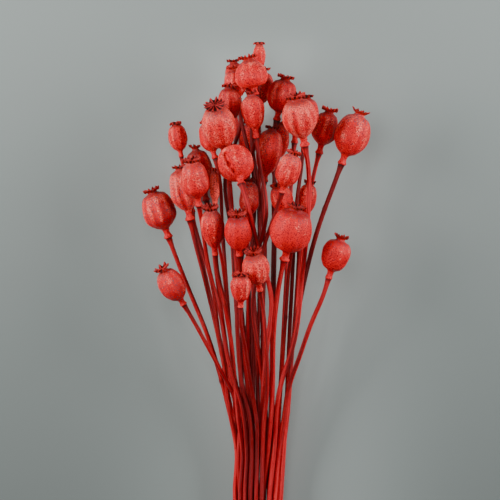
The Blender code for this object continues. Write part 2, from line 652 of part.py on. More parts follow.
def pressed_flat(mesh):
    """Cut off what would be below the surface, which leaves a small flat spot."""
    shape = bmesh.new()
    shape.from_mesh(mesh)
    everything = shape.verts[:] + shape.edges[:] + shape.faces[:]
    cut = bmesh.ops.bisect_plane(
        shape, geom=everything, dist=0.000001, plane_co=(0, 0, 0), plane_no=(0, 0, -1),
        clear_outer=True,
    )
    rim = [item for item in cut["geom_cut"] if isinstance(item, bmesh.types.BMEdge)]
    bmesh.ops.edgeloop_fill(shape, edges=rim)
    bmesh.ops.recalc_face_normals(shape, faces=shape.faces)
    shape.to_mesh(mesh)
    shape.free()


def outer_points(layout, along, clear):
    """Points round every stem where the band passes."""
    points = []
    for number in range(len(POPPIES)):
        stations = layout.station[number]
        for place in (along - TIE_WIDTH / 2 - 1, along, along + TIE_WIDTH / 2 + 1):
            x = np.interp(place, stations, layout.stem[number, :, 0])
            z = np.interp(place, stations, layout.stem[number, :, 1])
            for index in range(ROUND_POINTS):
                turn = math.tau * index / ROUND_POINTS
                reach = layout.radius[number] * THICK_END + clear
                points.append((x + reach * math.cos(turn), z + reach * math.sin(turn)))
    return sorted(points)


def hull(points):
    """The convex outline of points, anticlockwise."""
    def half(ordered):
        chain = []
        for point in ordered:
            while len(chain) > 1:
                (ax, az), (bx, bz) = chain[-2:]
                if (bx - ax) * (point[1] - az) - (bz - az) * (point[0] - ax) > 0:
                    break
                chain.pop()
            chain.append(point)
        return chain[:-1]
    return half(points) + half(points[::-1])


def even_outline(points, count):
    """The same closed outline with evenly spaced points, and its outward directions."""
    closed = np.array(points + points[:1])
    runs = np.linalg.norm(np.diff(closed, axis=0), axis=1)
    far = np.concatenate([[0.0], np.cumsum(runs)])
    places = np.linspace(0.0, far[-1], count, endpoint=False)
    even = np.column_stack([np.interp(places, far, closed[:, axis]) for axis in (0, 1)])
    tangent = np.roll(even, -1, axis=0) - np.roll(even, 1, axis=0)
    outward = np.column_stack([tangent[:, 1], -tangent[:, 0]])
    return even, outward / np.linalg.norm(outward, axis=1)[:, None]


def tie_mesh(layout):
    """The elastic band: a strip with softened edges, looped round the stems."""
    points = hull(outer_points(layout, TIE_ALONG, TIE_CLEAR))
    inner, outward = even_outline(points, TIE_POINTS)
    half = TIE_WIDTH / 2
    thick = TIE_THICKNESS
    section = [(0, -half), (0, half), (0.7 * thick, half), (thick, half - 0.8),
               (thick, -half + 0.8), (0.7 * thick, -half)]
    shape = bmesh.new()
    rings = []
    for place, way in zip(inner, outward):
        ring = []
        for out, along in section:
            x, z = place + way * out
            ring.append(shape.verts.new((x * MM, (TIE_ALONG + along) * MM, z * MM)))
        rings.append(ring)
    for first, second in zip(rings, rings[1:] + rings[:1]):
        for index in range(len(section)):
            after = (index + 1) % len(section)
            shape.faces.new((first[index], first[after], second[after], second[index]))
    bmesh.ops.recalc_face_normals(shape, faces=shape.faces)
    mesh = bpy.data.meshes.new("tie")
    shape.to_mesh(mesh)
    shape.free()
    return mesh


def material(name, colour, roughness):
    """A plain Principled material."""
    finish = bpy.data.materials.new(name)
    finish.use_nodes = True
    shader = finish.node_tree.nodes["Principled BSDF"]
    shader.inputs["Base Color"].default_value = (*colour, 1.0)
    shader.inputs["Roughness"].default_value = roughness
    shader.inputs["Metallic"].default_value = 0.0
    return finish


def finish_object(thing, finish):
    """Shade an object smooth, with its sharp corners kept, and give it its material."""
    thing.data.shade_smooth()
    thing.data.set_sharp_from_angle(angle=math.radians(50))
    thing.data.materials.clear()
    thing.data.materials.append(finish)


def centre(things):
    """Put the origin under the middle of the whole bunch's box."""
    corners = np.array([
        (thing.matrix_world @ vertex.co)[:]
        for thing in things
        for vertex in thing.data.vertices
    ])
    middle = (corners.min(axis=0) + corners.max(axis=0)) / 2
    for thing in things:
        thing.data.transform(Matrix.Translation((-middle[0], -middle[1], 0.0)))


def build():
    for thing in list(bpy.data.objects):
        bpy.data.objects.remove(thing)
    collection = bpy.data.collections.new("poppy_bunch")
    bpy.context.scene.collection.children.link(collection)
    layout = Layout()
    layout.solve()
    rng = np.random.default_rng(SEED + 1)
    foot, _ = layout.feet()
    things = []
    for number, poppy in enumerate(POPPIES):
        points = [
            (layout.stem[number, index, 0], layout.station[number, index], layout.stem[number, index, 1])
            for index in range(STEM_POINTS)
        ]
        points.append(tuple(foot[number] + layout.axis[number] * (COLLAR_HEIGHT + 1.2)))
        stem = stem_mesh(poppy, points, collection)
        turn = rng.uniform(0, math.tau)
        head = placed(head_mesh(poppy, collection), poppy, foot[number], layout.axis[number], turn)
        mesh = joined(poppy.name, stem, head, collection)
        if poppy.name in RESTING:
            pressed_flat(mesh)
        thing = new_object(poppy.name, mesh, collection)
        depth = float(np.clip(layout.head[number, 2] / 110.0, 0.0, 1.0))
        colour = [low + (high - low) * depth for low, high in zip(DEEP_RED, LIT_RED)]
        finish_object(thing, material(poppy.name, colour, 0.62))
        things.append(thing)
    band = tie_mesh(layout)
    pressed_flat(band)
    tie = new_object("tie", band, collection)
    finish_object(tie, material("tie", BAND_COLOUR, 0.75))
    things.append(tie)
    centre(things)


build()
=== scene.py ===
# A bunch of dyed, dried poppy seed heads lying on a pale floor, seen from straight above.
# Lengths are metres. The bunch lies along +Y, with its cut stem ends at the low end.
import math

import bmesh
import bpy
import numpy as np
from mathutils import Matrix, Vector, noise


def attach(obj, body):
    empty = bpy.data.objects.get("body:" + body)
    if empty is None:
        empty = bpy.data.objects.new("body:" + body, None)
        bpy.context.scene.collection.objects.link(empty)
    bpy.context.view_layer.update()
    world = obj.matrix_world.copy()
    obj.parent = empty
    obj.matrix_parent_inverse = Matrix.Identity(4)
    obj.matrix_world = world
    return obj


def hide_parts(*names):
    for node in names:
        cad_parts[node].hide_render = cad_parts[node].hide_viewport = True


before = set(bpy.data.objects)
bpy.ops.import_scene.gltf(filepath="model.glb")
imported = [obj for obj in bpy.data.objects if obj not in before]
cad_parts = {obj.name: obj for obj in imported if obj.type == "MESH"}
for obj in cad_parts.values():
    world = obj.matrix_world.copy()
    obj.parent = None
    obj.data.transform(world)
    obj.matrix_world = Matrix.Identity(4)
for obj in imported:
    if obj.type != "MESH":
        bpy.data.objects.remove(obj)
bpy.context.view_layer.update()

# ---------------------------------------------------------------------------------------
# The floor: a smooth board sprayed a pale grey green, without a shine. Painted light makes it
# paler towards the far end and in a wide soft stripe along the middle, where the stripe
# cancels the bunch's shadow.
# ---------------------------------------------------------------------------------------
FLOOR_SIZE = 8.0
FLOOR_PAINT = (0.111, 0.130, 0.127, 1.0)
FLOOR_PAINT_FAR_LIT = (0.236, 0.272, 0.267, 1.0)
FLOOR_ROUGHNESS = 0.92
FLOOR_SHINE = 0.15
# Along Y: where the painted light turns the floor paler, and how the painted stripe that cancels
# the bunch's shadow fades in from both its ends.
PAINTED_LIGHT_ALONG_Y = (-0.35, 0.45)
SHADOW_FILL_ENDS = ((0.33, 0.18), (-0.50, -0.28))
SHADOW_FILL_MIDDLE = 0.02
SHADOW_FILL_WIDTH = 0.12
SHADOW_FILL_PALER = (2.05, 2.05, 2.05, 1.0)


def new_node(tree, kind, links_in=(), **values):
    """Add a node, set its settings and sockets by name, and link others into it."""
    node = tree.nodes.new("ShaderNode" + kind)
    for key, value in values.items():
        if hasattr(node, key):
            setattr(node, key, value)
        else:
            node.inputs[key.replace("_", " ")].default_value = value
    for socket, source in links_in:
        tree.links.new(source, node.inputs[socket])
    return node


def mixed(tree, share, first, second, blend="MIX"):
    """The second colour over the first. Each is a socket or a plain colour."""
    node = new_node(tree, "Mix", data_type="RGBA", blend_type=blend)
    for socket, value in (("Factor", share), ("A", first), ("B", second)):
        found = [item for item in node.inputs if item.name == socket and item.enabled][0]
        if isinstance(value, (tuple, float)):
            found.default_value = value
        else:
            tree.links.new(value, found)
    return [item for item in node.outputs if item.enabled][0]


def number(tree, operation, first, second=0.0, third=0.0):
    """Arithmetic on sockets and plain numbers."""
    node = new_node(tree, "Math", operation=operation)
    for index, value in enumerate((first, second, third)):
        if isinstance(value, float):
            node.inputs[index].default_value = value
        else:
            tree.links.new(value, node.inputs[index])
    return node.outputs[0]


def ramp(tree, value, low, high):
    """From 0 to 1, softly, while the value goes from low to high."""
    node = new_node(tree, "MapRange", [("Value", value)], interpolation_type="SMOOTHSTEP",
                    From_Min=low, From_Max=high)
    return node.outputs["Result"]


bpy.ops.object.select_all(action="DESELECT")
bpy.ops.mesh.primitive_plane_add(size=FLOOR_SIZE, location=(0.0, 0.0, 0.0))
floor = bpy.context.active_object
floor.name = "floor"

floor_paint = bpy.data.materials.new("floor_paint")
floor_paint.use_nodes = True
tree = floor_paint.node_tree
coat = tree.nodes["Principled BSDF"]
coat.inputs["Roughness"].default_value = FLOOR_ROUGHNESS
coat.inputs["Specular IOR Level"].default_value = FLOOR_SHINE
spot = new_node(tree, "TexCoord").outputs["Object"]
spot = new_node(tree, "SeparateXYZ", [("Vector", spot)]).outputs
# painted light: the floor paler towards the far end
paint = mixed(tree, ramp(tree, spot["Y"], *PAINTED_LIGHT_ALONG_Y), FLOOR_PAINT, FLOOR_PAINT_FAR_LIT)
# painted light: a pale stripe along the middle, which cancels the bunch's shadow on the floor
shadow_fill = number(tree, "SUBTRACT", spot["X"], SHADOW_FILL_MIDDLE)
shadow_fill = number(tree, "ABSOLUTE", number(tree, "DIVIDE", shadow_fill, SHADOW_FILL_WIDTH))
shadow_fill = number(tree, "MULTIPLY", number(tree, "POWER", shadow_fill, 2.0), -1.0)
shadow_fill = number(tree, "EXPONENT", shadow_fill)
for start, end in SHADOW_FILL_ENDS:
    shadow_fill = number(tree, "MULTIPLY", ramp(tree, spot["Y"], start, end), shadow_fill)
paint = mixed(tree, shadow_fill, paint, SHADOW_FILL_PALER, "MULTIPLY")
tree.links.new(paint, coat.inputs["Base Color"])
floor.data.materials.append(floor_paint)

# ---------------------------------------------------------------------------------------
# The studio: two big soft boxes low on the left and the right, one weak one overhead, and
# the camera straight above, with the picture's bottom edge just above the elastic band.
# ---------------------------------------------------------------------------------------
SOFT_BOXES = (
    # name, place, size, power, colour
    ("soft_box_left", (-1.20, 0.40, 0.78), 0.90, 34.5, (1.0, 0.97, 0.94)),
    ("soft_box_right", (1.20, 0.40, 0.66), 0.90, 29.0, (1.0, 0.98, 0.96)),
    ("soft_box_over", (-0.25, 0.40, 2.2), 0.8, 14.0, (0.99, 0.99, 1.0)),
)
LIT_POINT = Vector((-0.006, 0.10, 0.06))
SKY = (0.80, 0.86, 0.86, 1.0)
SKY_STRENGTH = 0.03
VIEW_POINT = (-0.0064, 0.0909, 0.065)
VIEW_HEIGHT = 6.0
LENS = 432.0
FURTHEST_SEEN = 20.0

for name, place, size, power, colour in SOFT_BOXES:
    light = bpy.data.lights.new(name, "AREA")
    light.shape = "SQUARE"
    light.size = size
    light.energy = power
    light.color = colour
    box = bpy.data.objects.new(name, light)
    bpy.context.scene.collection.objects.link(box)
    box.location = place
    box.rotation_euler = (LIT_POINT - Vector(place)).to_track_quat("-Z", "Y").to_euler()

sky = bpy.data.worlds.new("studio_sky")
sky.use_nodes = True
sky.node_tree.nodes["Background"].inputs["Color"].default_value = SKY
sky.node_tree.nodes["Background"].inputs["Strength"].default_value = SKY_STRENGTH
bpy.context.scene.world = sky

camera_data = bpy.data.cameras.new("camera")
camera_data.lens = LENS
camera_data.clip_end = FURTHEST_SEEN
camera = bpy.data.objects.new("camera", camera_data)
bpy.context.scene.collection.objects.link(camera)
camera.location = (VIEW_POINT[0], VIEW_POINT[1], VIEW_POINT[2] + VIEW_HEIGHT)
bpy.context.scene.camera = camera

# ---------------------------------------------------------------------------------------
# The poppies: 38 grown pieces, each a long thin stem, the swollen collar where the flower
# sat, a short neck, a ribbed papery capsule and a rayed crown. They were dried, then dyed
# red, and the dye lies thin on the ribs and thick in the grooves. Their colour also holds
# painted light and shade: highlights, shade under the crown and between its lobes, and
# heads and stems painted darker where shade falls. Nothing else fixes them.
# ---------------------------------------------------------------------------------------
DYE_RED = (0.70, 0.004, 0.009, 1.0)
# the thin and the pale dye colours also stand in for painted highlight
DYE_THIN_AND_HIGHLIGHT = (0.90, 0.066, 0.050, 1.0)
DYE_PALE_AND_HIGHLIGHT = (0.96, 0.245, 0.18, 1.0)
DYE_DEEP = (0.14, 0.001, 0.003, 1.0)
DYE_BLACK = (0.030, 0.002, 0.003, 1.0)
STEM_RED = (0.64, 0.004, 0.013, 1.0)
STEM_THIN = (0.84, 0.045, 0.045, 1.0)
SPECK = (0.11, 0.006, 0.012, 1.0)
BLOOM_BLUE = (0.100, 0.075, 0.100, 1.0)
PITH = (0.62, 0.30, 0.20, 1.0)
DARKEST_TONE_AND_SHADE = (0.20, 0.15, 0.15, 1.0)
UNDARKENED = (1.0, 1.0, 1.0, 1.0)

# How fine each kind of mark is, in marks to a metre, and how much some are drawn out along
# the growth.
PATCHES, PATCHES_DRAWN = 110.0, 0.6
MOTTLE = 480.0
FINE = 1000.0
DOTS = 850.0
STREAKS, STREAKS_DRAWN = 900.0, 0.06
WRINKLES, WRINKLES_DRAWN = 420.0, 0.35

# Where each mark starts to show, and where it is full.
THIN_AND_HIGHLIGHT_RANGE = (0.51, 0.645)
WORN_AND_HIGHLIGHT_RANGE = (0.80, 0.94)
DOTTED = (0.455, 0.375)
GROOVED = (0.60, 0.35)
SHADE_UNDER_CROWN = (0.89, 1.05)
STAINED = (0.40, 0.34)
STREAKED = (0.46, 0.70)
SCABBED = (0.36, 0.26)
SHADED_FURROWS = (0.65, 1.1)
LOBES_RED = (0.20, 0.68)
LOBES_SHADED = (0.45, 0.85)
LOBES_RUBBED = (0.35, 0.05)
KNOB_RUBBED = (0.36, 0.60)

SKIN_SHINE = 0.20
SKIN_RELIEF = 0.0011
MARKS = ("stem", "crown", "valley", "collar", "seam", "shoulder", "cut", "tone", "pale",
         "height_share")


def noise_of(tree, places, scale, detail=3.0, roughness=0.6):
    """A random grey, as many spots to the metre as the scale says."""
    node = new_node(tree, "TexNoise", [("Vector", places)], Scale=scale, Detail=detail,
                    Roughness=roughness)
    return node.outputs["Fac"]


def drawn_out(tree, places, along):
    """The same places drawn together along the growth, which makes long marks of round ones."""
    node = new_node(tree, "Mapping", [("Vector", places)], Scale=(1.0, 1.0, along))
    return node.outputs["Vector"]


def times(tree, value, by):
    """One value times another."""
    return number(tree, "MULTIPLY", value, by)


def added(tree, base, value, share):
    """The base with a share of a value added."""
    return number(tree, "MULTIPLY_ADD", value, share, base)


def painted(tree, under, colour, where, strength=1.0):
    """A coat of colour over another one, as strong as given where the mark is full."""
    return mixed(tree, times(tree, where, strength), under, colour)


def dyed_finish():
    """The dyed, dried skin. It reads its places and marks from the mesh's own attributes."""
    finish = bpy.data.materials.new("dyed_poppy")
    finish.use_nodes = True
    tree = finish.node_tree
    skin = tree.nodes["Principled BSDF"]
    grain = new_node(tree, "Attribute", attribute_name="grain").outputs["Vector"]
    stem, crown, valley, collar, seam, shoulder, cut, tone, pale, height_share = (
        new_node(tree, "Attribute", attribute_name=mark).outputs["Fac"] for mark in MARKS
    )
    patches = noise_of(tree, drawn_out(tree, grain, PATCHES_DRAWN), PATCHES)
    mottle = noise_of(tree, grain, MOTTLE)
    fine = noise_of(tree, grain, FINE, detail=2.0)
    dots = noise_of(tree, grain, DOTS, detail=2.0, roughness=0.5)
    streaks = noise_of(tree, drawn_out(tree, grain, STREAKS_DRAWN), STREAKS)
    wrinkles = noise_of(tree, drawn_out(tree, grain, WRINKLES_DRAWN), WRINKLES)

    # the capsule: red dye, thin in patches and on the ribs and paler towards the top, worn pale,
    # then specked. The thin and pale colours also serve as painted highlight, and the pale mark
    # paints some heads lighter or darker as painted light.
    thin_and_highlight = times(tree, patches, 0.35)
    for mark, share in ((mottle, 0.40), (fine, 0.25), (valley, -0.15), (height_share, 0.11),
                        (pale, 0.2)):
        thin_and_highlight = added(tree, thin_and_highlight, mark, share)
    thin_and_highlight = ramp(tree, thin_and_highlight, *THIN_AND_HIGHLIGHT_RANGE)
    capsule = mixed(tree, thin_and_highlight, DYE_RED, DYE_THIN_AND_HIGHLIGHT)
    worn_and_highlight = times(tree, ramp(tree, added(tree, fine, patches, 0.5), *WORN_AND_HIGHLIGHT_RANGE), thin_and_highlight)
    capsule = painted(tree, capsule, DYE_PALE_AND_HIGHLIGHT, worn_and_highlight, strength=0.85)
    capsule = painted(tree, capsule, SPECK, ramp(tree, dots, *DOTTED), strength=0.9)
    # darker in the grooves; along a fold's crease this is painted shade
    grooves = times(tree, valley, ramp(tree, wrinkles, *GROOVED))
    capsule = painted(tree, capsule, DYE_DEEP, grooves, strength=0.45)

    # painted shade: a dark ring under the crown; then the bluish bloom there
    ring = ramp(tree, added(tree, height_share, mottle, 0.16), *SHADE_UNDER_CROWN)
    ring = times(tree, ring, added(tree, 0.8, shoulder, -0.7))
    capsule = painted(tree, capsule, DYE_DEEP, ring)
    bloom = ramp(tree, added(tree, dots, shoulder, -0.10), *STAINED)
    bloom = times(tree, bloom, ramp(tree, shoulder, 0.0, 0.1))
    capsule = painted(tree, capsule, BLOOM_BLUE, bloom, strength=0.9)

    # the stem: long streaks of thin dye, scabs, and painted shade in its furrows
    stalk = painted(tree, STEM_RED, STEM_THIN, ramp(tree, streaks, *STREAKED), strength=0.8)
    stalk = painted(tree, stalk, DYE_BLACK, ramp(tree, mottle, *SCABBED))
    # painted shade: the stem's furrows painted dark
    shaded_furrows = ramp(tree, added(tree, valley, streaks, 0.5), *SHADED_FURROWS)
    stalk = painted(tree, stalk, DYE_BLACK, shaded_furrows, strength=0.6)

    # the crown: painted shade between its lobes, rubbed thin on their ridges, and painted
    # highlight on their rims
    top = ramp(tree, added(tree, mottle, valley, -0.6), *LOBES_RED)
    top = mixed(tree, top, DYE_DEEP, DYE_RED)
    top = painted(tree, top, DYE_BLACK, ramp(tree, valley, *LOBES_SHADED))
    top = painted(tree, top, DYE_THIN_AND_HIGHLIGHT, ramp(tree, valley, *LOBES_RUBBED), strength=0.25)
    # painted highlight: the lobes' rims paler
    rim = times(tree, ramp(tree, crown, 0.84, 0.97), ramp(tree, valley, 0.95, 0.55))
    top = painted(tree, top, DYE_THIN_AND_HIGHLIGHT, rim, strength=0.25)

    colour = painted(tree, capsule, top, ramp(tree, crown, 0.02, 0.25))
    colour = painted(tree, colour, stalk, stem)
    knob = times(tree, collar, ramp(tree, mottle, *KNOB_RUBBED))
    colour = painted(tree, colour, DYE_THIN_AND_HIGHLIGHT, knob)
    colour = painted(tree, colour, DYE_BLACK, seam)
    # painted shade: the colour is darkened where the tone mark is low, which on stems, on some
    # whole heads and on their right sides is painted shade
    colour = mixed(tree, 1.0, colour, mixed(tree, tone, DARKEST_TONE_AND_SHADE, UNDARKENED), "MULTIPLY")
    colour = painted(tree, colour, PITH, cut)
    tree.links.new(colour, skin.inputs["Base Color"])

    dull = added(tree, added(tree, 0.36, mottle, 0.25), crown, 0.18)
    tree.links.new(dull, skin.inputs["Roughness"])
    skin.inputs["Specular IOR Level"].default_value = SKIN_SHINE

    relief = added(tree, times(tree, mottle, 0.6), wrinkles, 0.8)
    relief = added(tree, relief, fine, 0.18)
    relief = added(tree, relief, times(tree, streaks, stem), 0.7)
    bump = new_node(tree, "Bump", [("Height", relief)], Strength=0.9, Distance=SKIN_RELIEF)
    tree.links.new(bump.outputs["Normal"], skin.inputs["Normal"])
    return finish


# How a poppy's solid is read: corners closer than this are one, the collar's ring of corners
# stands this far above the foot, and a stem is this many rings long.
MERGED_WITHIN = 0.00001
COLLAR_RISE = 0.0024
END_WITHIN = 0.00005
STEM_RINGS = 11


def welded(node):
    """The corners of a solid and which ones each is joined to, from a merged copy."""
    copy = bmesh.new()
    copy.from_mesh(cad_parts[node].data)
    bmesh.ops.remove_doubles(copy, verts=copy.verts, dist=MERGED_WITHIN)
    copy.verts.index_update()
    copy.verts.ensure_lookup_table()
    corners = np.array([corner.co[:] for corner in copy.verts])
    joined = [
        {edge.other_vert(corner).index for edge in corner.link_edges} for corner in copy.verts
    ]
    copy.free()
    return corners, joined


def rings_from(first, joined, count):
    """Rings of corners, each a step further from the first."""
    seen, rings = set(first), [sorted(first)]
    while len(rings) < count:
        onward = {other for corner in rings[-1] for other in joined[corner]} - seen
        seen |= onward
        rings.append(sorted(onward))
    return rings


def unit(vector):
    """The same way, one metre long."""
    return vector / np.linalg.norm(vector)


class Solid:
    """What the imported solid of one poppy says: where its head stands and how big it is."""

    RINGS = (
        "middle", "rim", "base", "shoulder", "upper", "lower", "bottom", "neck", "collar",
    )

    def __init__(self, node):
        corners, joined = welded(node)
        middle = max(range(len(corners)), key=lambda corner: len(joined[corner]))
        layers = [corners[ring] for ring in rings_from({middle}, joined, len(self.RINGS))]
        layers = dict(zip(self.RINGS, layers))
        collar = layers["collar"].mean(axis=0)
        self.axis = unit(layers["base"].mean(axis=0) - collar)
        self.foot = collar - self.axis * COLLAR_RISE
        self.rays = len(layers["rim"]) // 2
        self.radius, self.height, self.furthest = {}, {}, {}
        for name, layer in layers.items():
            rise = (layer - self.foot) @ self.axis
            out = np.linalg.norm(layer - self.foot - rise[:, None] * self.axis, axis=1)
            self.radius[name] = float(np.median(out))
            self.height[name] = float(np.median(rise))
            self.furthest[name] = float(out.max())
            if name == "rim":
                tip = layer[out.argmax()]
                self.tip_height = float(rise[out.argmax()])
        self.side = tip - self.foot
        self.side = unit(self.side - (self.side @ self.axis) * self.axis)
        self.up = np.cross(self.axis, self.side)
        self.ribs = self.furthest["upper"] / self.radius["upper"] - 1.0
        end = np.flatnonzero(corners[:, 1] < corners[:, 1].min() + END_WITHIN)
        stem = [corners[ring] for ring in rings_from(set(end.tolist()), joined, STEM_RINGS)]
        self.stem = np.array([ring.mean(axis=0) for ring in stem])
        self.stem_radius = np.array([
            np.linalg.norm(ring - ring.mean(axis=0), axis=1).mean() for ring in stem
        ])


def drawn_through(points, first_way, last_way, count):
    """A smooth line through the points, as count even places, with its run in metres."""
    points = np.array(points)
    gaps = np.linalg.norm(np.diff(points, axis=0), axis=1)
    run = np.concatenate([[0.0], np.cumsum(gaps)])
    slope = np.diff(points, axis=0) / gaps[:, None]
    way = np.empty_like(points)
    way[0], way[-1] = first_way, last_way
    before, after = gaps[:-1, None], gaps[1:, None]
    way[1:-1] = (slope[:-1] * after + slope[1:] * before) / (after + before)
    along = np.linspace(0.0, run[-1], count)
    index = np.clip(np.searchsorted(run, along, side="right") - 1, 0, len(gaps) - 1)
    t = ((along - run[index]) / gaps[index])[:, None]
    gap = gaps[index][:, None]
    line = (
        (2 * t ** 3 - 3 * t ** 2 + 1) * points[index]
        + (t ** 3 - 2 * t ** 2 + t) * gap * way[index]
        + (3 * t ** 2 - 2 * t ** 3) * points[index + 1]
        + (t ** 3 - t ** 2) * gap * way[index + 1]
    )
    return line, along


def wavy(places, scale, seed):
    """A smooth random value from -1 to 1 at each place."""
    shift = Vector((seed * 3.7, seed * 1.3, seed * 2.1))
    return np.array([noise.noise(Vector(place) * scale + shift) for place in places])


# The stem's blank: a straight rod of one metre and a radius of one metre, cut into short
# lengths, with its cut end hollowed a little where the pith has shrunk.
STEM_SIDES = 14
STEM_LENGTHS = 150
PITH_SHARE = 0.45
PITH_DEPTH = 0.0012

bpy.ops.object.select_all(action="DESELECT")
bpy.ops.mesh.primitive_cylinder_add(
    vertices=STEM_SIDES, radius=1.0, depth=1.0, location=(0.0, 0.0, 0.5),
)
stem_blank = bpy.context.active_object
bpy.ops.object.mode_set(mode="EDIT")
bpy.ops.mesh.select_mode(type="EDGE")
bpy.ops.mesh.select_all(action="DESELECT")
shape = bmesh.from_edit_mesh(stem_blank.data)
for edge in shape.edges:
    edge.select = abs(edge.verts[0].co.z - edge.verts[1].co.z) > 0.5
bmesh.update_edit_mesh(stem_blank.data)
bpy.ops.mesh.subdivide(number_cuts=STEM_LENGTHS - 1)
bpy.ops.mesh.select_mode(type="FACE")
bpy.ops.mesh.select_all(action="DESELECT")
shape = bmesh.from_edit_mesh(stem_blank.data)
for face in shape.faces:
    face.select = face.normal.z < -0.9
bmesh.update_edit_mesh(stem_blank.data)
bpy.ops.mesh.inset(thickness=PITH_SHARE)
bpy.ops.mesh.extrude_region_move(TRANSFORM_OT_translate={"value": (0.0, 0.0, PITH_DEPTH)})
bpy.ops.mesh.select_mode(type="VERT")
bpy.ops.object.mode_set(mode="OBJECT")
bpy.ops.object.transform_apply(location=True, rotation=True, scale=True)


# A stem is a little finer than its solid, uneven, and flared where it runs into the collar.
STEM_FINER = 0.87
STEM_UNEVEN, UNEVEN_TO_METRE = 0.035, 30.0
STEM_INTO_COLLAR = 0.0012
FLARE_LENGTH, FLARE_BEND = 0.012, 1.6
FLARE_SHARE, FLARE_MORE = 0.62, 0.0002
# Low ridges run along it, and it has up to three scars where leaves sat.
RIDGE_SHARE, RIDGES_AROUND, RIDGES_TO_METRE = 0.05, 2.2, 14.0
SCARS_MOST = 3
SCAR_HEIGHT, SCAR_LENGTH = 0.0006, 0.0016
SCARS_FROM_TO = (0.35, 0.93)
# The dark line under the collar.
SEAM_LENGTH = 0.0022
# The waist, where the stems run together: its place along Y, its middle and its half width.
WAIST_AT, WAIST_MIDDLE, WAIST_REACH = -0.09, 0.0005, 0.026
# Painted shade: how bright the stems are painted below and above, and over which share of the
# length that changes.
SHADE_TONES_BELOW, SHADE_TONES_ABOVE = (0.0, 0.35), (0.1, 0.7)
SHADE_FROM, SHADE_OVER = 0.35, 0.35
# How far apart the pieces lie in the finish's grain, so that no two look alike.
GRAIN_STEP = 0.11


def places_of(mesh):
    """Where the corners of a mesh stand, one row each."""
    places = np.empty(len(mesh.vertices) * 3)
    mesh.vertices.foreach_get("co", places)
    return places.reshape(-1, 3)


def set_marks(mesh, marks):
    """Write what the finish reads: one value, or one place, for each corner."""
    for name, values in marks.items():
        kind = "FLOAT_VECTOR" if name == "grain" else "FLOAT"
        field = "vector" if name == "grain" else "value"
        made = mesh.attributes.new(name, kind, "POINT")
        made.data.foreach_set(field, np.asarray(values, np.float32).ravel())


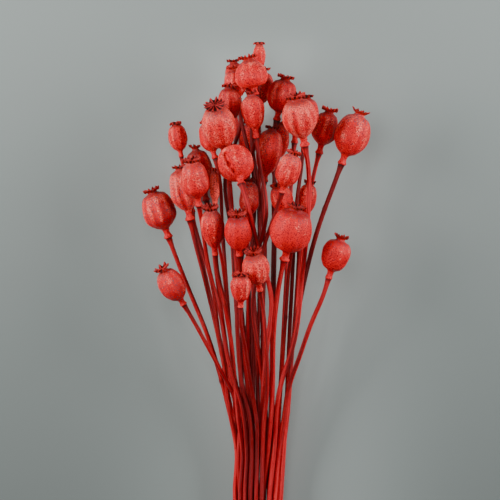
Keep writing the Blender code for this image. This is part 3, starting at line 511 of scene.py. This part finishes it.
def grown_stem(solid, seed, looks):
    """A copy of the blank bent along the solid's stem, with its ridges and leaf scars."""
    random = np.random.default_rng(seed)
    centres = [*solid.stem, solid.foot, solid.foot + solid.axis * STEM_INTO_COLLAR]
    line, run = drawn_through(centres, (0.0, 1.0, 0.0), solid.axis, STEM_LENGTHS + 1)
    way = np.gradient(line, axis=0)
    way /= np.linalg.norm(way, axis=1)[:, None]
    side = np.empty_like(line)
    side[0] = (1.0, 0.0, 0.0)
    for index in range(1, len(line)):
        side[index] = unit(side[index - 1] - (side[index - 1] @ way[index]) * way[index])
    up = np.cross(way, side)

    mesh = stem_blank.data.copy()
    blank = places_of(mesh)
    share = blank[:, 2]
    where = share * STEM_LENGTHS
    index = np.clip(where.astype(int), 0, STEM_LENGTHS - 1)
    rest = (where - index)[:, None]
    length = run[-1]
    along = share * length

    # the thickness: the solid's, a little uneven, and flared where it meets the collar
    stations = np.linalg.norm(np.diff(solid.stem, axis=0), axis=1)
    stations = np.concatenate([[0.0], np.cumsum(stations)])
    radius = np.interp(along, stations, solid.stem_radius) * STEM_FINER
    uneven = wavy(np.column_stack([along * 0, along * 0, along]), UNEVEN_TO_METRE, seed)
    radius *= 1.0 + STEM_UNEVEN * uneven
    flare = np.clip(1.0 - (length - along) / FLARE_LENGTH, 0.0, 1.0) ** FLARE_BEND
    wider = solid.radius["collar"] - solid.stem_radius[-1]
    radius += flare * (FLARE_SHARE * wider + FLARE_MORE)

    # the ridges along the stem, and the scars where leaves sat
    turn = np.arctan2(blank[:, 1], blank[:, 0])
    around = np.column_stack([np.cos(turn), np.sin(turn)])
    ridge = np.column_stack([around * RIDGES_AROUND, along * RIDGES_TO_METRE])
    ridge = wavy(ridge, 1.0, seed + 5)
    radius *= 1.0 + RIDGE_SHARE * ridge
    scars = np.zeros(len(along))
    for _ in range(random.integers(1, SCARS_MOST + 1)):
        at = random.uniform(*SCARS_FROM_TO) * length
        faces = random.uniform(0.0, math.tau)
        near = np.exp(-((along - at) / SCAR_LENGTH) ** 2) * (0.55 + 0.45 * np.cos(turn - faces))
        scars = np.maximum(scars, near)
    radius += SCAR_HEIGHT * scars

    out = np.hypot(blank[:, 0], blank[:, 1]) * radius
    places = line[index] * (1 - rest) + line[index + 1] * rest
    for ways, share_out in ((side, around[:, 0]), (up, around[:, 1])):
        here = ways[index] * (1 - rest) + ways[index + 1] * rest
        places = places + here * (out * share_out)[:, None]
    places[:, 2] = np.maximum(places[:, 2], 0.0)
    mesh.vertices.foreach_set("co", places.ravel())

    # painted shade: low down, the stems inside the bunch are painted darker than those on its
    # outside, which are the brightest at its waist; higher up each stem has its own painted
    # brightness
    waist = np.interp(WAIST_AT, solid.stem[:, 1], solid.stem[:, 0])
    outer = min(1.0, abs(waist - WAIST_MIDDLE) / WAIST_REACH) ** 2
    low_tone = random.uniform(*SHADE_TONES_BELOW) * (1.0 - outer) + outer
    high_tone = looks.get("stem_shade", random.uniform(*SHADE_TONES_ABOVE))
    upward = np.clip((share - SHADE_FROM) / SHADE_OVER, 0.0, 1.0)
    tone = low_tone + (high_tone - low_tone) * upward * upward * (3.0 - 2.0 * upward)

    rim = np.hypot(blank[:, 0], blank[:, 1]) > 1.0 - PITH_SHARE * 0.5
    grain = np.column_stack([out * around[:, 0], out * around[:, 1], along - length])
    seam = np.clip(scars * 1.2 - 0.5, 0.0, 1.0) * 0.8
    nothing = np.zeros(len(along))
    set_marks(mesh, {
        "grain": grain + seed * GRAIN_STEP,
        "stem": np.ones(len(along)),
        "crown": nothing,
        "valley": np.clip(0.5 - 1.2 * ridge, 0.0, 1.0),
        "collar": nothing,
        "seam": np.maximum(seam, along > length - SEAM_LENGTH),
        "shoulder": nothing,
        "pale": nothing,
        "cut": np.where(rim, 0.45 * (share < 0.001), 1.0),
        "height_share": nothing,
        "tone": tone,
    })
    return mesh


# The head: its outline is drawn as a line and spun round, then its ribs, wrinkles and
# lobes are pressed into it.
COLUMNS_PER_LOBE = 10
COLLAR_RINGS = 18
CAPSULE_RINGS = 32
CROWN_RINGS = 9
PLATE_THICK = 0.0010
PLATE_THICK_INSIDE = 0.0013
FOOT_STEP = 0.0002
RIM_WITHIN = 0.999
# The plate's rings are spun nearly flat, this far above each other, and shaped afterwards.
RING_STEP = 0.0001
PLATE_STEP = 0.0002
DISH_STEP = 0.001
# The solid's capsule is a little square. The grown one is an egg inside the same width.
EGG = {"bottom": 0.87, "lower": 0.95, "upper": 0.98, "shoulder": 0.95}
CAPSULE = ("neck", "bottom", "lower", "upper", "shoulder", "base")


def head_outline(solid, looks):
    """The line from the foot to the middle of the crown: radius, height, and what it is."""
    radius, height = solid.radius, solid.height
    stem, collar, neck = solid.stem_radius[-1], radius["collar"], radius["neck"]
    rise = height["neck"]
    # the stem's end, the swollen collar, and the neck above it
    foot_to_neck = [
        (0.55 * stem, 0.0, -0.0006), (stem + 0.00015, 0.0, 0.0),
        (stem + 0.0004, 0.0, 0.05 * rise), (0.92 * collar, 0.0, 0.11 * rise),
        (collar, 0.0, 0.21 * rise), (0.94 * collar, 0.0, 0.31 * rise),
        (0.38 * collar + 0.56 * neck, 0.0, 0.46 * rise),
        (0.92 * neck, 0.0, 0.68 * rise), (0.98 * neck, 0.0, 0.92 * rise),
    ]
    line, _ = drawn_through(foot_to_neck, (0.3, 0.0, 1.0), (0.2, 0.0, 1.0), COLLAR_RINGS)
    rings = [(r, h, "collar") for r, _, h in line]
    tall = looks.get("stretch", 1.0)
    neck_to_crown = [
        (radius[name] * EGG.get(name, 1.0) * looks.get(name, 1.0), 0.0,
         rise + (height[name] - rise) * tall)
        for name in CAPSULE
    ]
    line, _ = drawn_through(neck_to_crown, (0.25, 0.0, 1.0), (-0.15, 0.0, 1.0), CAPSULE_RINGS)
    rings += [(r, h, "capsule") for r, _, h in line]
    crown = solid.furthest["rim"]
    base = rings[-1][0]
    for step in np.linspace(0.0, 1.0, CROWN_RINGS)[1:]:
        rings.append((base + (crown - base) * step, rings[-1][1] + RING_STEP, "under"))
    top = rings[-1][1] + PLATE_STEP
    for step in np.linspace(1.0, 0.0, CROWN_RINGS + 3)[:-1]:
        rings.append((crown * step * RIM_WITHIN, top + (1.0 - step) * DISH_STEP, "top"))
    return rings, top + DISH_STEP + RING_STEP


def spun(outline, top, columns):
    """Spin the outline round its axis in edit mode, and close it."""
    mesh = bpy.data.meshes.new("head")
    points = [(0.0, 0.0, outline[0][1] - FOOT_STEP)]
    points += [(r, 0.0, h) for r, h, _ in outline] + [(0.0, 0.0, top)]
    mesh.from_pydata(points, [(index, index + 1) for index in range(len(points) - 1)], [])
    head = bpy.data.objects.new("head", mesh)
    bpy.context.scene.collection.objects.link(head)
    bpy.ops.object.select_all(action="DESELECT")
    bpy.context.view_layer.objects.active = head
    head.select_set(True)
    bpy.ops.object.mode_set(mode="EDIT")
    bpy.ops.mesh.select_all(action="SELECT")
    bpy.ops.mesh.spin(
        steps=columns, angle=math.tau, center=(0.0, 0.0, 0.0), axis=(0.0, 0.0, 1.0),
    )
    bpy.ops.mesh.select_all(action="SELECT")
    bpy.ops.mesh.remove_doubles(threshold=MERGED_WITHIN)
    bpy.ops.mesh.normals_make_consistent(inside=False)
    bpy.ops.object.mode_set(mode="OBJECT")
    return head


# What drying does to the capsule and the collar, as shares of the radius.
RIB_LEAST, RIB_STRENGTHS, RIB_BEND = 0.012, (0.55, 1.35), 0.10
SWELL, LUMP, WRINKLE = 0.035, 0.026, 0.016
DENTS_AT, DENT_DEPTHS = (0.25, 0.8), (0.015, 0.05)
DENT_HEIGHT, DENT_WIDTH = 0.16, 0.07
COLLAR_UNEVEN = 0.05
MARKS_TO_METRE = 45.0
# How the crown's lobes differ in reach and in rise, as shares, and the plate in metres.
LOBE_REACHES, LOBE_RISES, LOBE_UNEVEN = (0.90, 1.0), (0.75, 1.15), (-1.0, 0.6)
TWIST = 0.0012
RIDGE_HALF, RIDGE_PEAK, RIDGE_SINK = 0.19, 1.7, 0.7
RIM_DROP, RIM_OUT = 0.4, 0.00025
PLATE_GAP = 0.0003
BUTTON_RISE = 0.0003
MIDDLE_RISE = 0.0019
# Where the stain under the crown starts on the capsule, and how the rest is dyed and painted; the
# pale mark, partly painted light, is held low off the capsule.
STAIN_FROM, STAIN_OVER = 0.72, 0.24
COLLAR_VALLEY = 0.6
PALE_OFF_CAPSULE = -0.6
CROWN_ROOT = 0.35
KNOB_AT, KNOB_REACH = 0.30, 0.35
SEAM_RISE = 0.0009


def grown_head(solid, seed, looks):
    """A spun head with its ribs, wrinkles and crown, stood on its stem."""
    random = np.random.default_rng(1000 + seed)
    outline, top = head_outline(solid, looks)
    lobes = looks.get("lobes", solid.rays)
    head = spun(outline, top, COLUMNS_PER_LOBE * lobes)
    mesh = head.data
    blank = places_of(mesh)
    out = np.hypot(blank[:, 0], blank[:, 1])
    turn = np.arctan2(blank[:, 1], blank[:, 0])
    rise = blank[:, 2].copy()

    # what each corner belongs to, and which lobe of the crown it is in
    ring_out = np.array([ring[0] for ring in outline])
    ring_rise = np.array([ring[1] for ring in outline])
    kinds = np.array([ring[2] for ring in outline])
    ring = (np.abs(out[:, None] - ring_out) + np.abs(rise[:, None] - ring_rise)).argmin(axis=1)
    kind = kinds[ring]
    on_axis = out < 2 * MERGED_WITHIN
    kind[on_axis & (rise > top - RING_STEP)] = "middle"
    kind[on_axis & (rise < 0.0)] = "foot"
    on_capsule, on_collar = kind == "capsule", kind == "collar"
    under, over = kind == "under", kind == "top"
    lobe = turn / math.tau * lobes
    nearest = np.round(lobe)
    offset = lobe - nearest
    this = nearest.astype(int) % lobes
    beside = (this + np.where(offset > 0, 1, -1)) % lobes
    shared = np.clip((np.abs(offset) - 0.375) / 0.125, 0.0, 1.0) * 0.5

    def for_lobe(values):
        return values[this] * (1 - shared) + values[beside] * shared

    # the capsule's ribs, swellings, wrinkles and dents
    widest = solid.furthest["upper"]
    low, high = solid.height["neck"], solid.height["base"]
    tall = looks.get("stretch", 1.0)
    share = np.clip((rise - low) / ((high - low) * tall), 0.0, 1.0)
    window = np.sin(math.pi * share ** 0.85) ** 0.6
    places = np.column_stack([np.cos(turn), np.sin(turn), rise * MARKS_TO_METRE])
    strength = for_lobe(random.uniform(*RIB_STRENGTHS, lobes))
    bent = turn + RIB_BEND * wavy(places * (1.0, 1.0, 0.6), 1.2, seed)
    wave = np.cos(bent * solid.rays)
    rib = np.sign(wave) * np.abs(wave) ** 0.8
    ribs = max(solid.ribs, RIB_LEAST) * looks.get("ribs", 1.0)
    swell = SWELL * wavy(places * (0.8, 0.8, 0.5), 1.0, seed + 20)
    lumps = looks.get("lumps", 1.0) * (
        LUMP * wavy(places * (2.6, 2.6, 1.0), 1.0, seed + 30)
        + WRINKLE * wavy(places * (6.0, 6.0, 2.2), 1.0, seed + 40)
    )
    dent = np.zeros(len(out))
    for _ in range(looks.get("dents", 2)):
        at, around = random.uniform(*DENTS_AT), random.uniform(0.0, math.tau)
        far = ((share - at) / DENT_HEIGHT) ** 2 + ((np.cos(turn - around) - 1.0) / DENT_WIDTH) ** 2
        dent += np.exp(-far) * random.uniform(*DENT_DEPTHS)
    dent *= looks.get("dented", 1.0)
    change = window * (ribs * strength * rib + swell + lumps - dent)
    out = np.where(on_capsule, out * (1.0 + change), out)
    uneven = COLLAR_UNEVEN * wavy(places * (1.6, 1.6, 4.0), 1.0, seed + 50)
    out = np.where(on_collar, out * (1.0 + uneven), out)

    # the crown: how far each lobe reaches, how high its tip stands and how it turns
    notch, curl = looks.get("notch", 0.30), looks.get("curl", -0.0020)
    ridge, cup = looks.get("ridge", 0.0011), looks.get("cup", 1.5)
    base = outline[np.flatnonzero(kinds == "capsule")[-1]][0]
    crown = solid.furthest["rim"]
    base_rise = low + (high - low) * tall
    tip_rise = base_rise + solid.tip_height - high
    reach = 1.0 - notch * np.abs(2 * offset) ** looks.get("lobe_round", 2.6)
    reach *= for_lobe(random.uniform(*LOBE_REACHES, lobes))
    lift = tip_rise - base_rise - PLATE_THICK - PLATE_GAP
    lift = lift * for_lobe(random.uniform(*LOBE_RISES, lobes)) + looks.get("raised", 0.0)
    lift = lift + for_lobe(random.uniform(*LOBE_UNEVEN, lobes)) * looks.get("uneven", 0.0018)
    twist = for_lobe(random.uniform(-1.0, 1.0, lobes)) * TWIST
    u_under = np.clip((out - base) / (crown - base), 0.0, 1.0)
    spread = np.clip(out / crown, 0.0, 1.0)
    u_over = np.clip((spread * crown - base) / (crown - base), 0.0, 1.0)

    def plate(u):
        """The plate's underside, from its root at 0 to the lobes' tips at 1."""
        eased = u * reach
        r = base + (crown - base) * eased
        h = base_rise + PLATE_GAP + lift * eased ** cup
        h = h + curl * (2 * offset) ** 2 * eased ** 2 + twist * offset * 2 * eased
        return r, h

    r, h = plate(u_under)
    out = np.where(under, r, out)
    rise = np.where(under, h, rise)
    r, h = plate(u_over)
    thick = PLATE_THICK_INSIDE * (1 - u_over) + PLATE_THICK * u_over
    ridges = np.clip(spread * 2.2, 0, 1) * (1.0 - 0.45 * u_over)
    ridges *= ridge * (RIDGE_PEAK * np.exp(-(offset / RIDGE_HALF) ** 2) - RIDGE_SINK)
    inner = np.clip(spread * crown / base, 0.0, 1.0)
    r = np.where(u_over > 0, r, base * inner)
    rise = np.where(over, h + thick + ridges + BUTTON_RISE * (1 - inner) ** 2, rise)
    out = np.where(over, r, out)
    rise = np.where(kind == "middle", base_rise + MIDDLE_RISE, rise)
    edge = over & (spread > 0.995)
    rise = np.where(edge, rise - RIM_DROP * PLATE_THICK, rise)
    out = np.where(edge, out + RIM_OUT, out)
    pinch = looks.get("pinch", 0.0) * np.where(under, u_under, np.where(over, u_over, 0.0))
    turn = turn - offset * pinch * math.tau / lobes

    # stood on its stem, with its folds pressed in from above
    x, y = out * np.cos(turn), out * np.sin(turn)
    places = solid.foot + np.outer(rise, solid.axis)
    places = places + np.outer(x, solid.side) + np.outer(y, solid.up)
    middle = solid.foot + solid.axis * 0.5 * (low + high)
    fold = np.zeros(len(out))
    for first, second, wide, deep in looks.get("folds", ()):
        first, way = np.array(first), np.subtract(second, first)
        share_along = np.clip((places[:, :2] - first) @ way / (way @ way), 0.0, 1.0)
        away = np.linalg.norm(places[:, :2] - first - share_along[:, None] * way, axis=1) / wide
        pressed = np.exp(-away ** 2) * (on_capsule & (places[:, 2] > middle[2]))
        fold = np.maximum(fold, pressed)
        places[:, 2] -= pressed * deep
    places[:, 2] += looks.get("lift", 0.0) * np.clip(rise / base_rise, 0.0, 1.2) ** 1.5
    places[:, 2] = np.maximum(places[:, 2], 0.0)
    mesh.vertices.foreach_set("co", places.ravel())

    # what the finish reads
    on_top = CROWN_ROOT + (1.0 - CROWN_ROOT) * u_over
    u_crown = np.where(under, u_under, np.where(over, on_top, 0.0))
    u_crown = np.where(kind == "middle", CROWN_ROOT, u_crown)
    flat = np.clip(0.5 - 0.5 * rib * strength, 0.0, 1.0) * window
    valley = np.where(on_capsule, flat * min(1.0, ribs / 0.03), 0.0)
    # painted shade: the folds' creases darkened through the valley mark
    valley = np.where(on_collar, COLLAR_VALLEY, np.maximum(valley, fold ** 2))
    # on the crown the valley mark is the distance from a lobe's middle, which drives the painted
    # shade between the lobes
    valley = np.where(over, np.abs(2 * offset), valley)
    stain = np.clip((share - STAIN_FROM) / STAIN_OVER, 0.0, 1.0) * on_capsule
    stain = np.maximum(stain * looks.get("stain", 0.15), on_capsule * looks.get("spots", 0.0))
    knob = np.clip(1.0 - np.abs(rise - KNOB_AT * low) / (KNOB_REACH * low), 0.0, 1.0) * on_collar
    seam = np.where(on_collar, np.clip(1.2 - rise / SEAM_RISE, 0.0, 1.0), 0.0)
    # painted shade: shaded_right paints a head darker on its right side; crown_tone darkens the
    # crown
    sideways = (places - solid.foot - np.outer(rise, solid.axis))[:, 0] / widest
    shade = np.clip(sideways * 1.4 - 0.15, 0.0, 1.0) * looks.get("shaded_right", 0.0)
    tone = np.where(u_crown > 0.0, looks.get("crown_tone", 0.75), 1.0 - shade)
    nothing = np.zeros(len(out))
    set_marks(mesh, {
        "grain": np.column_stack([x, y, rise]) + seed * GRAIN_STEP,
        "stem": nothing,
        "crown": u_crown,
        "valley": valley,
        "collar": knob * looks.get("collar", 0.15),
        "seam": np.where(kind == "foot", 1.0, seam),
        "shoulder": stain,
        "cut": nothing,
        "height_share": share * on_capsule,
        "tone": looks.get("tone", 1.0) * tone,
        # pale: partly painted light, shifting how much of the capsule is painted thin and
        # highlighted
        "pale": np.where(on_capsule, looks.get("pale", 0.0), PALE_OFF_CAPSULE),
    })
    return head


# How each poppy differs from the common run. Its colour: tone (the whole head painted darker,
# as painted shade), shaded_right (painted shade on its right side), crown_tone (a darker crown),
# stem_shade (painted shade on its stem), pale (partly painted light), stain, spots and collar.
# Its crown: lobes, lobe_round, notch, curl, cup, pinch, raised, uneven and ridge. Its capsule:
# bottom to shoulder, stretch, lift, ribs, lumps, dents, and folds (from, to, width, depth)
# pressed in from above.
LOOKS = {
    "poppy_01": {
        "crown_tone": 1.0, "stem_shade": 0.3, "stain": 0.1, "notch": 0.14, "uneven": 0.0004,
        "ridge": 0.0003,
    },
    "poppy_02": {
        "stem_shade": 0.15, "pale": 0.05, "collar": 0.0, "lobes": 14, "lobe_round": 3.0,
        "notch": 0.2, "curl": -0.0024, "cup": 1.2, "raised": 0.003, "uneven": 0.0012,
        "ridge": 0.0014, "bottom": 1.25, "lower": 1.05, "upper": 0.9, "shoulder": 0.74,
        "lumps": 0.8,
    },
    "poppy_03": {"stem_shade": 0.2, "notch": 0.4, "raised": 0.001},
    "poppy_04": {"crown_tone": 0.45, "stem_shade": 0.2, "notch": 0.26, "raised": 0.0014},
    "poppy_05": {"crown_tone": 0.6, "stem_shade": 0.1, "notch": 0.34, "raised": 0.0018},
    "poppy_06": {
        "tone": 0.7, "crown_tone": 1.0, "stem_shade": 0.1, "lobes": 13, "lobe_round": 2.2,
        "notch": 0.34, "cup": 1.2, "pinch": 0.1,
    },
    "poppy_07": {
        "pale": 0.15, "lobes": 12, "lobe_round": 2.2, "notch": 0.38, "curl": -0.0012,
        "pinch": 0.15, "bottom": 0.92, "lower": 0.93, "upper": 0.92, "shoulder": 0.84,
        "ribs": 0.6, "lumps": 0.8,
    },
    "poppy_08": {
        "crown_tone": 0.4, "stem_shade": 0.35, "notch": 0.4, "curl": 0.0008, "cup": 1.0,
        "upper": 0.97, "shoulder": 0.86, "dents": 1,
    },
    "poppy_09": {
        "tone": 0.62, "crown_tone": 1.0, "stem_shade": 0.1, "lobes": 13, "lobe_round": 3.0,
        "notch": 0.2, "cup": 1.2, "raised": 0.0016, "uneven": 0.001, "ridge": 0.0016,
    },
    "poppy_10": {
        "stem_shade": 1.0, "pale": 0.45, "lobes": 13, "lobe_round": 3.0, "notch": 0.2,
        "curl": -0.002, "cup": 1.2, "raised": 0.002, "uneven": 0.0012, "ridge": 0.002,
        "bottom": 0.8, "lower": 0.92, "upper": 0.95, "shoulder": 0.93, "ribs": 1.1,
        "dents": 3,
    },
    "poppy_11": {"crown_tone": 0.3, "stem_shade": 0.1},
    "poppy_12": {
        "tone": 0.95, "crown_tone": 1.0, "stem_shade": 0.95, "shaded_right": 0.4, "pale": 0.0,
        "lobes": 13, "lobe_round": 3.0, "notch": 0.16, "cup": 1.2, "raised": 0.0022,
        "uneven": 0.0008, "ridge": 0.002,
    },
    "poppy_13": {
        "stem_shade": 0.12, "stain": 1.0, "lobes": 11, "lobe_round": 2.4, "notch": 0.5,
        "curl": 0.0012, "cup": 1.2, "pinch": 0.15, "bottom": 0.93, "shoulder": 0.95,
        "lumps": 0.7,
    },
    "poppy_16": {
        "tone": 0.45, "lobe_round": 2.0, "notch": 0.54, "cup": 1.0, "pinch": 0.2,
    },
    "poppy_17": {
        "crown_tone": 0.55, "shaded_right": 0.25, "stain": 0.6, "lobes": 13, "lobe_round": 3.0,
        "notch": 0.2, "cup": 1.8, "raised": 0.0022, "uneven": 0.0007, "ridge": 0.0016,
        "bottom": 0.92, "lower": 0.97,
    },
    "poppy_18": {
        "crown_tone": 0.5, "pale": 0.5, "spots": 0.12, "lobe_round": 2.0, "notch": 0.5,
        "pinch": 0.2, "ribs": 1.5,
    },
    "poppy_19": {
        "lower": 1.03, "stretch": 1.12, "lift": 0.012, "dents": 3,
        "folds": (
            ((-0.031, 0.186), (-0.0274, 0.1769), 0.0024, 0.004),
            ((-0.0274, 0.1759), (-0.0224, 0.1689), 0.0022, 0.003),
            ((-0.0224, 0.1689), (-0.0194, 0.1619), 0.0022, 0.0022),
            ((-0.031, 0.1855), (-0.023, 0.1865), 0.0018, 0.0018),
        ),
    },
    "poppy_20": {"tone": 0.8, "crown_tone": 0.2, "stem_shade": 0.2, "upper": 0.96},
    "poppy_22": {"lower": 0.96, "upper": 0.93, "shoulder": 0.93},
    "poppy_23": {
        "pale": 0.15, "stain": 0.9, "collar": 0.5, "lobes": 13, "lobe_round": 3.0,
        "notch": 0.24, "uneven": 0.0008,
    },
    "poppy_24": {
        "crown_tone": 1.0, "pale": 2.5, "stain": 0.0, "ribs": 0.1, "lumps": 5.0, "dents": 4,
        "dented": 3.0,
    },
    "poppy_25": {
        "tone": 0.6, "crown_tone": 0.4, "stain": 1.0, "notch": 0.5, "pinch": 0.3,
        "raised": 0.0015,
    },
    "poppy_27": {"crown_tone": 0.3},
    "poppy_28": {
        "crown_tone": 0.5, "shaded_right": 0.7, "collar": 0.4, "lobes": 14, "lobe_round": 3.0,
        "notch": 0.2, "raised": 0.0024, "uneven": 0.001, "ridge": 0.0016, "bottom": 0.9,
        "lower": 0.96, "shoulder": 0.98,
    },
    "poppy_29": {
        "crown_tone": 0.65, "pale": -0.8, "lobes": 14, "lobe_round": 2.6, "notch": 0.24,
        "curl": -0.0008, "cup": 2.0, "raised": 0.002, "uneven": 0.0006, "ridge": 0.0015,
    },
    "poppy_30": {
        "crown_tone": 0.45, "stem_shade": 0.7, "pale": -0.3, "lobes": 12, "lobe_round": 2.4,
        "notch": 0.34, "curl": 0.0014, "pinch": 0.1, "raised": 0.002, "uneven": 0.0026,
        "lower": 1.02, "upper": 1.02, "shoulder": 1.02, "ribs": 0.6,
    },
    "poppy_31": {
        "crown_tone": 0.6, "stem_shade": 0.5, "shaded_right": 0.8, "pale": 0.15, "spots": 0.1,
        "lobes": 12, "lobe_round": 2.4, "notch": 0.3, "cup": 1.4, "raised": 0.0018,
        "uneven": 0.001, "bottom": 0.88, "lower": 0.96, "upper": 0.99, "shoulder": 0.97,
        "ribs": 1.0,
    },
    "poppy_32": {
        "stem_shade": 0.5, "spots": 0.25, "lobe_round": 2.2, "notch": 0.54, "cup": 1.1,
        "pinch": 0.15, "lumps": 1.2,
    },
    "poppy_33": {
        "crown_tone": 0.6, "stem_shade": 0.55, "pale": -0.35, "stain": 0.6, "lobes": 9,
        "lobe_round": 2.2, "notch": 0.52, "cup": 1.0, "pinch": 0.15, "lumps": 2.0,
        "dents": 6,
    },
    "poppy_34": {
        "crown_tone": 0.65, "pale": 0.25, "collar": 0.9, "lobes": 14, "lobe_round": 2.6,
        "notch": 0.24, "curl": -0.0008, "cup": 2.0, "raised": 0.0022, "uneven": 0.0006,
        "ridge": 0.0015,
    },
    "poppy_35": {"collar": 1.0, "notch": 0.16, "curl": -0.0014},
}

POPPIES = 38
# Edges sharper than this stay sharp.
CREASE = math.radians(60.0)

dyed_poppy = dyed_finish()
for seed in range(1, POPPIES + 1):
    node = "poppy_%02d" % seed
    solid = Solid(node)
    looks = LOOKS.get(node, {})
    head = grown_head(solid, seed, looks)
    stem = bpy.data.objects.new("stem", grown_stem(solid, seed, looks))
    bpy.context.scene.collection.objects.link(stem)
    bpy.ops.object.select_all(action="DESELECT")
    stem.select_set(True)
    head.select_set(True)
    bpy.context.view_layer.objects.active = head
    bpy.ops.object.join()
    poppy = bpy.context.active_object
    poppy.name = "dyed_" + node
    poppy.data.materials.clear()
    poppy.data.materials.append(dyed_poppy)
    bpy.ops.object.shade_smooth_by_angle(angle=CREASE)
    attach(poppy, "root")
    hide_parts(node)
bpy.data.objects.remove(stem_blank)

# ---------------------------------------------------------------------------------------
# The elastic band: a flat woven elastic of natural rubber and cotton, looped round all the
# stems. It holds by its own stretch.
# ---------------------------------------------------------------------------------------
# The loop follows the solid's inside, read at its nearest corners and smoothed, and lies a
# little outside it, so that it clears the stems.
BAND_POINTS = 160
BAND_ROWS = 8
BAND_WIDTH = 0.0058
BAND_THICK = 0.0007
BAND_SLACK = 0.0005
BAND_EDGE = 0.0002
CORNERS_NEAR = 12
SMOOTHED_OVER = 7
BAND_RIBS = 310.0
BAND_FRAY = 900.0
BAND_RELIEF = 0.0003
BAND_ROUGHNESS = 0.8
BAND_CREASE = math.radians(50.0)
BAND_COTTON = (0.50, 0.36, 0.21, 1.0)
BAND_RUBBER = (0.33, 0.22, 0.12, 1.0)

corners, _ = welded("tie")
centre = (corners.min(axis=0) + corners.max(axis=0)) / 2
turn = np.arctan2(corners[:, 2] - centre[2], corners[:, 0] - centre[0])
reach = np.hypot(corners[:, 2] - centre[2], corners[:, 0] - centre[0])
angles = math.tau * np.arange(BAND_POINTS) / BAND_POINTS
inner = []
for angle in angles:
    near = np.abs((turn - angle + math.pi) % math.tau - math.pi).argsort()[:CORNERS_NEAR]
    inner.append(reach[near].min())
half = SMOOTHED_OVER // 2
inner = np.convolve(
    inner[-half:] + inner + inner[:half], np.ones(SMOOTHED_OVER) / SMOOTHED_OVER, "valid",
)

bpy.ops.object.select_all(action="DESELECT")
bpy.ops.mesh.primitive_circle_add(vertices=BAND_POINTS, radius=1.0, location=(0.0, 0.0, 0.0))
band = bpy.context.active_object
band.name = "elastic_band"
bpy.ops.object.mode_set(mode="EDIT")
bpy.ops.mesh.select_all(action="SELECT")
for step in range(BAND_ROWS):
    bpy.ops.mesh.extrude_region_move(TRANSFORM_OT_translate={"value": (0.0, 0.0, 1.0)})
bpy.ops.object.mode_set(mode="OBJECT")
for vertex in band.data.vertices:
    angle = math.atan2(vertex.co.y, vertex.co.x) % math.tau
    across = 2.0 * vertex.co.z / BAND_ROWS - 1.0
    spot = np.interp(angle, angles, inner, period=math.tau)
    spot = spot + BAND_SLACK - BAND_EDGE * across ** 4
    vertex.co = (
        centre[0] + spot * math.cos(angle), centre[1] + across * BAND_WIDTH / 2,
        centre[2] + spot * math.sin(angle),
    )
bpy.ops.object.mode_set(mode="EDIT")
bpy.ops.mesh.select_all(action="SELECT")
bpy.ops.mesh.normals_make_consistent(inside=False)
bpy.ops.object.mode_set(mode="OBJECT")
thick = band.modifiers.new("thick", "SOLIDIFY")
thick.thickness = BAND_THICK
thick.offset = 1.0
bpy.ops.object.modifier_apply(modifier="thick")

woven_elastic = bpy.data.materials.new("woven_elastic")
woven_elastic.use_nodes = True
tree = woven_elastic.node_tree
skin = tree.nodes["Principled BSDF"]
places = new_node(tree, "TexCoord").outputs["Object"]
ribs = new_node(tree, "TexWave", [("Vector", places)], bands_direction="Y",
                Scale=BAND_RIBS, Distortion=0.4).outputs["Fac"]
fray = noise_of(tree, places, BAND_FRAY, roughness=0.55)
weave = mixed(tree, ribs, BAND_RUBBER, BAND_COTTON)
tree.links.new(weave, skin.inputs["Base Color"])
skin.inputs["Roughness"].default_value = BAND_ROUGHNESS
relief = added(tree, ribs, fray, 0.5)
bump = new_node(tree, "Bump", [("Height", relief)], Strength=0.6, Distance=BAND_RELIEF)
tree.links.new(bump.outputs["Normal"], skin.inputs["Normal"])
band.data.materials.append(woven_elastic)
bpy.ops.object.shade_smooth_by_angle(angle=BAND_CREASE)
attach(band, "root")
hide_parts("tie")
